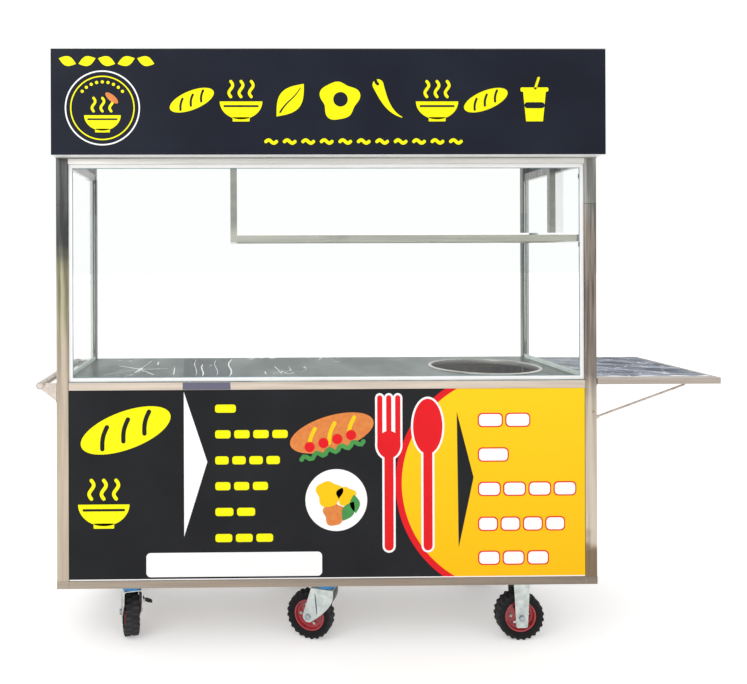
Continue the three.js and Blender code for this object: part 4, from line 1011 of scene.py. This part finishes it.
# %% Rim of the pot hole
WORKTOP_Z = 895.0
ROLLED = [
    (192.7, -14), (194.5, -14), (194.6, 0.35), (203.6, 0.35), (204.0, 1.2), (203.2, 2.9),
    (201.4, 4.2), (199.0, 4.9), (196.4, 4.9), (194.3, 4.1), (193.0, 2.6), (192.6, 0.6),
]
hole = to_cart(np.mean(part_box("pot_hole_rim"), axis=0))
rim = moved(lathe(ROLLED, 160), (hole[0], hole[1], WORKTOP_Z))
piece("rolled_pot_hole_rim", rim, steel_painted_light, "pot_hole_rim", True)
print("pot hole centre", hole.round(1).tolist())

# %% [markdown]
# A second strip of film laps over the first on the worktop and hangs over the rail in front. Film
# that lets go of the sheet stands up in thin crisp folds, which are white as a painted highlight,
# and a star of them round a white oval is a painted glint.

# %% Second film strip and folds
# The centre of a painted glint, a star of white folds
STAR = (-657.6, 285.0)
# Each fold's front end and rear end (mm), its width, and how far its path swings
FOLDS = [
    (-446, 112, -468, 560, 2.2, 4), (-422, 110, -435, 420, 5.0, 3), (-374, 118, -387, 560, 2.0, 5),
    (-330, 96, -325, 562, 5.5, 7), (-143, 145, -160, 350, 3.0), (-201, 145, -201, 215, 4.0),
    (-605, 395, -611, 485, 5.0), (-524, 140, -535, 330, 4.0), (*STAR, -752, 384, 5.0),
    (*STAR, -594, 152, 4.0), (*STAR, -770, 150, 2.0), (*STAR, -640, 520, 2.0),
    (*STAR, -560, 300, 2.5), (*STAR, -668, 200, 7.0),
]


def edges_of(path, half):
    """Both edges of a band: the path with half its width added along the normal and taken away."""
    normal = heading(path)[:, ::-1] * (-1, 1)
    return path + half * normal, path - half * normal


def drawn_in(t, slope, tip):
    """A share of the full width: 1 in the middle, falling to the tip's share at both ends."""
    return np.minimum(1, slope * np.minimum(t, 1 - t) + tip)


def on_worktop(outline, low, high):
    """A sheet of film over the worktop, between two heights above it."""
    return plate(outline, WORKTOP_Z + low, WORKTOP_Z + high)


def fold(x_front, y_front, x_rear, y_rear, width, swing=0.0):
    """A fold of film seen from above: a band between two points whose path swings like a sine,
    pulled in to a point at both ends."""
    t = np.linspace(0, 1, 25)
    across = x_front + (x_rear - x_front) * t + swing * np.sin(7 * t)
    path = np.stack([across, y_front + (y_rear - y_front) * t], -1)
    left, right = edges_of(path, (width / 2 * drawn_in(t, 6, 0.15))[:, None])
    return on_worktop(np.concatenate([left, right[::-1]]), 0.05, 1.2)


strip = on_worktop([(-483, 42), (-326, 42), (-325, 566), (-516, 566)], 0.03, 0.13)
hang = plate([(-483, 868.6), (-324, 868.6), (-325, 892.4), (-483, 892.4)], -0.14, -0.03, "y")
# Painted glint: a white oval in the middle of the star
painted_star_glint = on_worktop(circle(*STAR, 8.0, 24, squash=5.0), 0.06, 0.9)
piece("second_film_strip", strip, double_film, "worktop")
piece("film_over_the_rail", hang, rail_film, "counter_frame")
folds = joined(*[fold(*entry) for entry in FOLDS], painted_star_glint)
piece("film_folds", folds, painted_fold_highlight, "worktop")
print("folds in the film", len(FOLDS))

# %% [markdown]
# Weld beads and pan-head screws come back in several places, so each has a function.

# %% Welds and screws
def weld(start, end, radius=2.0):
    """A weld bead: a round bar along a line whose thickness rises and falls once per ripple of
    2.4 mm, and which draws in to a point at both ends."""
    start, end = np.asarray(start, float), np.asarray(end, float)
    length, ripple = np.linalg.norm(end - start), 2.4
    t = np.linspace(0, 1, max(int(length / ripple * 4), 8))
    size = radius * (1 + 0.14 * np.sin(2 * np.pi * length / ripple * t)) * drawn_in(t, 12, 0.25)
    ahead = (end - start) / length
    side = np.cross(ahead, (0.31, 0.52, 0.79))
    side /= np.linalg.norm(side)
    angle = (np.arange(8) * np.pi / 4)[:, None]
    ring = np.cos(angle) * side + np.sin(angle) * np.cross(ahead, side)
    points = start + t[:, None, None] * (end - start) + size[:, None, None] * ring[None]
    return points.reshape(-1, 3), capped(len(t), 8)


def screw(radius, height, axis="y", out=-1):
    """A pan-head screw: a turned dome, wide at its foot, with a dimple for the driver."""
    dome = [(0, 0), (1, 0), (0.96, 0.5), (0.72, 0.88), (0.34, 1), (0.3, 0.5), (0, 0.5)]
    return lathe([(radius * r, out * height * h) for r, h in dome], 14, axis)


print("a screw has", len(screw(3.2, 1.8)[0]), "points")

# %% [markdown]
# The handle is one tube, a foot plate and a gusset at each post, and a bead at each joint.

# %% Push handle
BAR_X, BAR_Z, BAR_R, BAR_WALL, BAR_ENDS = -955.0, 884.0, 12.5, 1.5, (3, 597)
WALL_X, FOOT_LOW, FOOT_HIGH = -900.3, 829, 891
GUSSET = [(WALL_X - 2.5, FOOT_LOW), (WALL_X - 2.5, FOOT_HIGH), (BAR_X, 890.2), (BAR_X - 6, BAR_Z),
          (BAR_X, 868)]
PLUG = [(0, 3.4), (9.6, 3.4), (10.9, 4.6), (10.9, 16), (0, 16)]

around, within = [circle(BAR_X, BAR_Z, radius, 48) for radius in (BAR_R, BAR_R - BAR_WALL)]
parts = [tube(around, within, *BAR_ENDS, "y")]
for y in (3, 563):
    parts.append(block((WALL_X - 3, y, FOOT_LOW), (WALL_X, y + 34, FOOT_HIGH), 0.8))
    parts.append(plate(GUSSET, y + 15, y + 19, "y"))
beads = []
for y in (18, 22, 578, 582):
    beads.append(weld((WALL_X - 3.4, y, 832), (WALL_X - 3.4, y, 888), 1.5))
    beads.append(weld((BAR_X + 9, y, 874.5), (BAR_X + 12, y, 888.4), 1.4))
plug = moved(lathe(PLUG, 40, "y"), (BAR_X, 0, BAR_Z))
piece("tube_push_handle", joined(*parts), steel_y, "push_handle", True, 0.5)
piece("handle_welds", joined(*beads), weld_steel, "push_handle")
piece("handle_end_cap", plug, steel_y, "push_handle")
print("handle at", BAR_X, BAR_Z)

# %% [markdown]
# ### Folding shelf, hinge and stays
# The shelf is a sheet folded over a ring of tube, with the film still on its top. It turns on a
# long barrel hinge, and two rods swing up from the wall to hook under its edge. The film has come
# loose along the front, where its edge stands up in a wavy strip, white as a painted highlight.

# %% Folding shelf
HINGE = JOINTS["shelf_fold"]
SHELF_X0, SHELF_TOP, SHELF_LOW, SHELF_Y0, SHELF_Y1, TUBE = 903.0, 898.0, 878.0, 5.0, 545.0, 20.0
SHELF_X1 = float(to_cart(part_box("folding_shelf")[1])[0])
KNUCKLES, KNUCKLE_MM = [25.0 + 110.0 * k for k in range(5)], 60


def shelf():
    """A round-cornered slab with two pockets cut up into it, which leave a ring and a cross bar."""
    slab = plate(rounded(SHELF_X0, SHELF_Y0, SHELF_X1, SHELF_Y1, 6, 6), SHELF_LOW, SHELF_TOP)
    middle = (SHELF_Y0 + SHELF_Y1) / 2
    return carved(slab, *[
        block((SHELF_X0 + TUBE, near, SHELF_LOW - 5), (SHELF_X1 - TUBE, far, SHELF_TOP - 2), 2)
        for near, far in ((SHELF_Y0 + TUBE, middle - 10), (middle + 10, SHELF_Y1 - TUBE))
    ])


def knuckle(y, inner, left, right, low, high):
    """A barrel round the hinge's axis, solid or with a bore, and the strap that holds it: a block
    between places measured from the axis."""
    ring = circle(HINGE[0], HINGE[2], 5)
    barrel = plate(ring, y, y + KNUCKLE_MM, "y")
    if inner:
        barrel = tube(ring, circle(HINGE[0], HINGE[2], inner), y, y + KNUCKLE_MM, "y")
    strap = block((left, y, HINGE[2] + low), (right, y + KNUCKLE_MM, high))
    return joined(barrel, strap)


moving = [knuckle(y, 3.3, HINGE[0] - 3, HINGE[0] + 3, 3.9, SHELF_LOW + 1) for y in KNUCKLES[1::2]]
sheet = rounded(SHELF_X0 + 12, SHELF_Y0 + 32, SHELF_X1 - 15, SHELF_Y1 - 15, 5)
edge_x = np.linspace(SHELF_X0 + 14, SHELF_X1 - 18, 40)
front_line = np.stack([edge_x, np.full(40, SHELF_Y0 + 31)], -1)
rear_line = front_line + np.stack([0 * edge_x, 14 + 7 * np.sin(edge_x / 17)], -1)
lifted = np.concatenate([front_line, rear_line[::-1]])
# The lifted film edge is white as a painted highlight
covers = [("shelf_protective_film", sheet, 0.05, 0.35, shelf_film),
          ("shelf_film_edge", lifted, 0.3, 0.9, painted_fold_highlight)]
whole_shelf = joined(shelf(), *moving)
piece("folding_side_shelf", whole_shelf, steel_edge, "folding_shelf", True, 1.2)
for name, outline, low, high, cover in covers:
    piece(name, plate(outline, SHELF_TOP + low, SHELF_TOP + high), cover, "folding_shelf")
print("shelf reaches", round(SHELF_X1, 1))

# %% [markdown]
# The leaf and every second knuckle stay on the wall, and one rod goes through all of them.

# %% Hinge and stays
LEAF_X, STAY_FROM, STAY_TO, STAY_UP, STAY_OUT = 900.3, 4.2, 315.4, 106.2, 297.0


def stay():
    """A wire stay: a round rod that ends in a ball under the shelf, welded to an eye."""
    ring = circle(0, 0, 3.5, 20) * (-1, 1)
    places = np.linspace(STAY_FROM, STAY_TO, 12)
    wire = laid([(ring, place) for place in places], "x"), capped(len(places), len(ring))
    eye = tube(circle(0, 0, 5.2), circle(0, 0, 3.3), -4, 4, "y")
    return joined(wire, eye, moved(ball((3.5, 3.5, 3.5)), (STAY_TO, 0, 0)))


leaf = block((LEAF_X, 40.3, HINGE[2] - 32), (SHELF_X0, 525, HINGE[2]), 0.5)
fixed = [knuckle(y, 0, LEAF_X, HINGE[0], -5, HINGE[2] - 0.5) for y in KNUCKLES[::2]]
rod = lathe([(0, 22), (2.2, 22), (3, 22.8), (3, 527.2), (2.2, 528), (0, 528)], 24, "y")
rod = moved(rod, (HINGE[0], 0, HINGE[2]))
heads = copies(screw(3.6, 1.5, "x", 1), [(SHELF_X0, y + 30, HINGE[2] - 22) for y in KNUCKLES])
piece("barrel_hinge", joined(leaf, *fixed, rod), zinc, "shelf_hinge", True, 0.3)
piece("hinge_screws", heads, zinc_worn, "shelf_hinge")
stay_rise = math.degrees(math.atan2(STAY_UP, STAY_OUT))
for side in ("front", "rear"):
    shape = moved(turned(stay(), -stay_rise, "y"), JOINTS[side + "_stay_swing"])
    piece(side + "_wire_stay", shape, rod_steel, side + "_shelf_stay", True)
stay_bolt = moved(screw(4.4, 2.2), (887.5, 0.0, 788.0))
piece("stay_bolt_on_the_post", stay_bolt, weld_steel, "front_right_post")
print("stays rise at", round(stay_rise, 1), "degrees")

# %% [markdown]
# ## Trim, seals, welds and rivets
# A bright strip closes the underside of the sign box, and a white one covers the lower edge of the
# front board. The panes sit in grey seals. The tubes are joined by TIG welds that keep a straw
# tint, and the roof posts plug into the corner posts at a seam that stays visible. The sheets of
# the ends are held by blind rivets.

# %% Bright strips and seams
SIGN_FACE, SIGN_LOW, SIGN_TOP, SIGN_SHEET, SEAM_Z = -64.25, 1639.0, 1980.7, 1.5, 1483.0
POSTS = {
    "front_left": (-900, 0, -860, 40), "front_right": (860, 0, 900, 40),
    "rear_left": (-900, 570, -870, 599.7), "rear_right": (870, 570, 900, 599.7),
}


def upright_ring(outer, inner, low, high):
    """A thin band round a square tube, standing out by a quarter of a millimetre."""
    return tube(rounded(*outer, 3.25, 4), rounded(*inner, 2.8, 4), low, high)


outside = plate(rounded(-900, SIGN_LOW, 900, SIGN_TOP, 0.8, 2), SIGN_FACE, -0.3, "y")
within = rounded(-900 + SIGN_SHEET, SIGN_LOW + SIGN_SHEET, 900 - SIGN_SHEET, SIGN_TOP - SIGN_SHEET,
                 0.3, 1)
tray = carved(outside, plate(within, SIGN_FACE + SIGN_SHEET, 5.0, "y"))
underside = block((-899.5, SIGN_FACE + 0.4, SIGN_LOW - 0.6), (899.5, -0.6, SIGN_LOW))
lip = block((-899.5, -3.6, SIGN_LOW - 4.0), (899.5, -0.6, SIGN_LOW - 0.6))
strip = block((-859.0, 1.55, 238.0), (859.0, 1.95, 241.6))
piece("folded_sign_tray", tray, sign_navy, "sign_box", True)
piece("sign_underside_strip", underside, white_powder, "sign_box")
piece("sign_underside_lip", lip, steel_x, "sign_box")
piece("board_lower_strip", strip, white_vinyl, "front_board")
for place, (x0, y0, x1, y1) in POSTS.items():
    outer = (x0 - 0.25, y0 - 0.25, x1 + 0.25, y1 + 0.25)
    inner = (x0 + 0.2, y0 + 0.2, x1 - 0.2, y1 - 0.2)
    band = upright_ring(outer, inner, SEAM_Z - 0.7, SEAM_Z + 0.7)
    piece(place + "_post_seam", band, dark_bolt, place + "_post")
print("seam of the roof posts at", SEAM_Z, "mm")

# %% [markdown]
# The front pane has a flat grey seal all round it, and two small stops at its right side.

# %% Seals round the panes
PANE_X, PANE_LOW, PANE_HIGH, PANE_FACE, SEAL = 847.7, 907.3, 1604.7, 10.2, 2.4
outer = rounded(-PANE_X, PANE_LOW, PANE_X, PANE_HIGH, 1.2, 3)
inner = rounded(-PANE_X + SEAL, PANE_LOW + SEAL, PANE_X - SEAL, PANE_HIGH - SEAL, 0.6, 3)
seal = tube(outer, inner, PANE_FACE, PANE_FACE + 0.7, "y")
stops = [block((PANE_X - 5.5, 7.2, z), (PANE_X - SEAL, 8.0, z + 15), 0.3) for z in (1568, 1340)]
piece("front_pane_seal", seal, grey_seal, "front_glazing_frame")
piece("front_pane_stops", joined(*stops), black_nylon, "front_glazing_frame")

# %% [markdown]
# Short beads stand where the rails meet the posts, and nine rivets hold the sheet of each end.

# %% Welds and rivets
# At each side: across (mm), front or rear face, the bead's lower and upper end
BEADS = [(860, -0.2, 869.0, 892.0), (860, -0.2, 213.0, 236.0), (860, -0.2, 1618.0, 1644.0),
         (870, 598.9, 869, 892), (870, 598.9, 213, 236)]
RIVETS = [(y, z) for y in (62, 300, 548) for z in (262, 552, 842)]

beads, rivets = [], []
for side in (-1, 1):
    beads += [weld((side * x, y, low), (side * x, y, high), 0.9) for x, y, low, high in BEADS]
    rivets.append(copies(screw(3.0, 1.0, "x", side), [(side * 899.6, y, z) for y, z in RIVETS]))
piece("frame_welds", joined(*beads), weld_steel, "base_frame")
piece("side_panel_rivets", joined(*rivets), zinc_worn, "left_side_panel")
print("welds", len(beads), "rivets", 2 * len(RIVETS))

# %% [markdown]
# ## Pictograms in cut film
# The boards of such a cart carry large plain signs. Here they are pictograms of food in cut vinyl:
# each is an outline worked out from a formula, given 0.35 mm of film, and laid on its board. Marks
# on another colour, such as the slashes of a loaf, are a second layer of film on the first. A
# pictogram is drawn one unit wide about its own centre, as a list of outlines and one of marks.

# %% Outlines of the pictograms
def tilted(points, degrees):
    """Flat points turned about the origin."""
    c, s = math.cos(math.radians(degrees)), math.sin(math.radians(degrees))
    return points @ np.array([[c, s], [-s, c]])


def oval(u, v, radius_u, radius_v, tilt=0.0):
    """An ellipse: centre plus its two radii times cos and sin, turned by the tilt."""
    return tilted(circle(0, 0, 1, 48) * (radius_u, radius_v), tilt) + (u, v)


def ribbon(path, width, taper=0.0):
    """A band round a path: half its width to each side along the normal, with round ends. The
    taper narrows it towards its last point."""
    path = np.asarray(path, float)
    ahead = heading(path)
    normal = ahead[:, ::-1] * (-1, 1)
    half = (width / 2 * (1 - taper * np.linspace(0, 1, len(path))))[:, None]
    left, right = edges_of(path, half)
    angle = np.linspace(0, np.pi, 9)[1:-1, None]
    near, far = [half[k] * (np.cos(angle) * normal[k] + np.sin(angle) * ahead[k]) for k in (0, -1)]
    return np.concatenate([left, path[-1] + far, right[::-1], path[0] - near])


def wave(u, v, length, swing, turns=1.0, tilt=90.0):
    """A sine line: length along one direction, swing times sin across it, turned by the tilt."""
    t = np.linspace(0, 1, 25)
    points = np.stack([length * (t - 0.5), swing * np.sin(2 * np.pi * turns * t)], -1)
    return tilted(points, tilt) + (u, v)


def loaf(tilt=22.0):
    """A long loaf and the three slashes on its crust."""
    places = tilted(np.array([(-0.26, 0), (0, 0), (0.26, 0)]), tilt)
    slashes = [ribbon(wave(*place, 0.26, 0.02, 0.5, tilt + 58), 0.05) for place in places]
    return [oval(0, 0, 0.55, 0.22, tilt)], slashes


def bowl():
    """A bowl, which is the lower half of an ellipse on a foot, and three lines of steam."""
    body = arc(0, -0.03, 0.5, np.linspace(np.pi, 2 * np.pi, 30), 0.84)
    steam = [ribbon(wave(across, 0.26, 0.36, 0.045), 0.07) for across in (-0.24, 0, 0.24)]
    outlines = [body, rounded(-0.2, -0.5, 0.2, -0.4, 0.02), *steam]
    return outlines, [ribbon(wave(0, -0.14, 0.78, 0, 1, 0), 0.045)]


def leaf_sign(tilt=50.0):
    """A leaf: two sine arcs that meet in points, with a midrib."""
    t = np.linspace(0, np.pi, 24)
    edge = np.stack([t / np.pi - 0.5, 0.27 * np.sin(t)], -1)
    blade = tilted(np.concatenate([edge, -edge[1:-1]]), tilt)
    return [blade], [ribbon(wave(0, 0, 0.74, 0.015, 1, tilt), 0.04, 0.6)]


def chilli():
    """A chilli: a bent band that narrows to its tip, with a short stalk."""
    t, tilt = np.linspace(0, 1, 26), -35.0
    spine = np.stack([0.9 * (t - 0.45), -0.32 * np.sin(1.9 * t) + 0.16], -1)
    stalk = np.stack([-0.42 - 0.16 * t[::4], 0.17 + 0.12 * t[::4] ** 2], -1)
    return [ribbon(tilted(spine, tilt), 0.26, 0.93)], [ribbon(tilted(stalk, tilt), 0.07)]


def egg():
    """A fried egg: a circle whose radius swells and sinks a little as it goes round."""
    angle = np.arange(60) * 2 * np.pi / 60
    radius = 0.44 + 0.045 * np.sin(3 * angle + 0.6) + 0.03 * np.sin(5 * angle)
    return [arc(0, 0, radius, angle)], [circle(0.03, 0.02, 0.17)]


def cup():
    """A cup that narrows downwards, with a lid and a straw."""
    body = np.array([(-0.27, 0.2), (-0.2, -0.5), (0.2, -0.5), (0.27, 0.2)])
    straw = ribbon([(0.02, 0.28), (0.06, 0.4), (0.1, 0.52)], 0.06)
    outlines = [body, rounded(-0.33, 0.2, 0.33, 0.3, 0.03), straw]
    return outlines, [ribbon(wave(0, -0.12, 0.34, 0, 1, 0), 0.14)]


def drawn(sign, u, v, size):
    """Both lists of a pictogram at a place, and at a size in millimetres."""
    return [[line * size + (u, v) for line in lines] for lines in sign]


print("a loaf outline has", len(loaf()[0][0]), "points")

# %% [markdown]
# The sign carries a row of eight pictograms over a row of small waves, a few leaves, and at its
# left a round badge with a bowl, a loaf and an arch of dots.

# %% Film on the sign
FILM, FILM_GAP, BOARD_FACE = 0.35, 0.02, 2.0
BADGE = (-734, 1790)


def sheet_of(face, layer):
    """The two places across a board between which a layer of film lies, its rear one last."""
    out = face - FILM * (layer - 1) - FILM_GAP
    return out - FILM, out


def film(outlines, face, layer):
    """Outlines as sheets of film, the given number of layers out from a board's face."""
    return joined(*[plate(line, *sheet_of(face, layer), "y") for line in outlines])


def on_sign(name, outlines, finish, layer=1):
    """A piece of film on the sign."""
    piece(name, film(outlines, SIGN_FACE, layer), finish, "sign_box")


def on_board(name, outlines, finish, layer=1):
    """A piece of film on the lower board."""
    piece(name, film(outlines, BOARD_FACE, layer), finish, "front_board")


row = [loaf(), bowl(), leaf_sign(), egg(), chilli(), bowl(), loaf(), cup()]
signs = [drawn(sign, -446 + 159 * k, 1815, 138) for k, sign in enumerate(row)]
waves = [ribbon(wave(-190 + 60 * k, 1681, 34, 5, 1, 0), 11) for k in range(11)]
leaves = [drawn(leaf_sign(18 if k % 2 else -18), -846 + 63 * k, 1941, 58)[0][0] for k in range(5)]
badge_tops, badge_marks = drawn(bowl(), -734, 1770, 118)
dots = [circle(u, v, 5.2, 20)
        for u, v in arc(*BADGE, 84, np.linspace(0.22 * np.pi, 0.78 * np.pi, 9))]
sign_tops = [line for tops, _ in signs for line in tops]
sign_marks = [line for _, marks in signs for line in marks]
on_sign("sign_pictograms", sign_tops + waves + leaves + badge_tops + dots, lemon_vinyl)
on_sign("sign_marks", sign_marks + badge_marks, sign_navy, 2)
for name, radius, width, vinyl in (
    ("sign_badge_ring", 121, 4.6, white_vinyl), ("sign_badge_inner_ring", 104, 4.2, lemon_vinyl),
):
    outer, inner = circle(*BADGE, radius, 72), circle(*BADGE, radius - width, 72)
    piece(name, tube(outer, inner, *sheet_of(SIGN_FACE, 1), "y"), vinyl, "sign_box")
on_sign("sign_badge_loaf", drawn(loaf(-40), -704, 1822, 46)[0], orange_vinyl, 2)
print("pictograms on the sign:", len(row))

# %% [markdown]
# The lower board has a yellow field at its right that ends in a red crescent, large signs at its
# left, and lines of plain bars where a menu would stand.

# %% Film on the lower board
BOARD_X, BOARD_TOP, BOARD_LOW = 859.3, 867.3, 237.7
FIELD_X, FIELD_Z, FIELD_RADIUS, CRESCENT_RADIUS = 604.8, 552.0, 360.0, 381.0
# The right end of each line of bars (mm) and its height
LEFT_MENU = [(-306.7, 805), (-134.8, 719.8), (-161.2, 633.3), (-200.9, 547.7), (-243.9, 462.1),
             (-184.4, 375.5)]
RIGHT_MENU = [(672.2, 761.8), (599.4, 646.6), (826.0, 532.0), (788.0, 415.5), (733.4, 302.2)]
WHITE_ARROW = [(-479.4, 861), (-402, 628.6), (-479.4, 381.5)]
BLACK_ARROW = [(429.4, 789), (485, 571.3), (434.7, 337.5)]


def field_edge(radius):
    """Points on a circle round the field's centre, from the board's top edge to its lower one."""
    top, low = [math.asin((edge - FIELD_Z) / radius) for edge in (BOARD_TOP, BOARD_LOW)]
    return arc(0, 0, radius, np.linspace(top, low, 60)) * (-1, 1) + (FIELD_X, FIELD_Z)


def words(left, right, level, tall, gap=12.0, unit=58.0):
    """A line of plain bars with round ends, as a menu line looks from afar."""
    count = max(int(round((right - left) / unit)), 1)
    width = (right - left - gap * (count - 1)) / count
    low, high = level - tall / 2, level + tall / 2
    return [rounded(start, low, start + width, high, tall * 0.32)
            for start in left + (width + gap) * np.arange(count)]


edge = field_edge(FIELD_RADIUS)
yellow = np.concatenate([edge, [(BOARD_X, BOARD_LOW), (BOARD_X, BOARD_TOP)]])
crescent = np.concatenate([field_edge(CRESCENT_RADIUS), edge[::-1]])
big_loaf, big_slashes = drawn(loaf(20), -672, 735, 285)
big_bowl, big_line = drawn(bowl(), -745, 495, 170)
menu = [bar for right, z in LEFT_MENU for bar in words(-376, right, z, 27)]
white_menu = [bar for right, z in RIGHT_MENU for bar in words(503.5, right, z, 40, 16, 78)]
red_menu = [bar for right, z in RIGHT_MENU for bar in words(499.5, right + 4, z, 48, 8, 78)]
label, dish = rounded(-605, 247.7, -21.7, 327.9, 14), circle(26.3, 498.7, 103, 72)
on_board("board_yellow_field", [yellow], sun_vinyl)
on_board("board_red_crescent", [crescent], red_vinyl)
on_board("board_yellow_signs", big_loaf + big_bowl + menu, lemon_vinyl)
on_board("board_yellow_marks", big_slashes + big_line, board_black, 2)
on_board("board_menu_edges", red_menu, red_vinyl, 2)
on_board("board_menu_bars", white_menu, white_vinyl, 3)
on_board("board_white_signs", [WHITE_ARROW, label, dish], white_vinyl)
on_board("board_black_arrow", [BLACK_ARROW], board_black, 2)
print("menu lines", len(LEFT_MENU) + len(RIGHT_MENU))

# %% [markdown]
# In the middle of the board lie a filled loaf and a dish of rice, in several layers of film, and
# beside them a fork and a spoon with a white edge.

# %% Food pictures on the lower board
def fork_and_spoon(grow):
    """A fork and a spoon as tall as the board's middle: tines, neck and handle, each a band, and an
    oval bowl. Growing every band by the same amount gives the white edge round them."""
    tines = [ribbon([(x, 838.0), (x, 760.0), (x, 690.0)], 17 + grow) for x in (172.0, 202.0, 232.0)]
    palm = oval(202.0, 682.0, 39 + grow / 2, 46 + grow / 2)
    stem = ribbon([(202.0, 660.0), (202.0, 500.0), (202.0, 344.0)], 30 + grow)
    scoop = oval(332.0, 742.0, 49 + grow / 2, 92 + grow / 2)
    stalk = ribbon([(332.0, 700.0), (332.0, 500.0), (332.0, 344.0)], 30 + grow)
    return [*tines, palm, stem, scoop, stalk]


rice = drawn(egg(), 2, 520, 96)[0] + drawn(egg(), 58, 512, 70)[0]
sauce = drawn(egg(), 20, 452, 84)[0]
greens = drawn(leaf_sign(60), 66, 462, 74)[0] + drawn(leaf_sign(96), 88, 486, 62)[0]
filled_loaf, loaf_cuts = drawn(loaf(16), 12, 722, 262)
lettuce = [ribbon(wave(14, 664, 214, 8, 5, 16), 15)]
slices = [circle(-62 + 46 * k, 676 + 13 * k, 17, 28) for k in range(4)]
on_board("board_bread", filled_loaf + sauce, orange_vinyl, 2)
on_board("board_rice", rice + loaf_cuts, sun_vinyl, 3)
on_board("board_greens", lettuce + greens, green_vinyl, 4)
on_board("board_slices", slices, red_vinyl, 5)
for name, grow, layer, vinyl in (
    ("board_cutlery_edge", 14, 2, white_vinyl), ("board_cutlery", 0, 3.5, red_vinyl),
):
    # Each sheet lies a little further out than the last, so that none share a face
    sheets = [moved(film([line], BOARD_FACE, layer), (0, -FILM_GAP * k, 0))
              for k, line in enumerate(fork_and_spoon(grow))]
    piece(name, joined(*sheets), vinyl, "front_board")
print("layers of film, each", FILM, "mm")
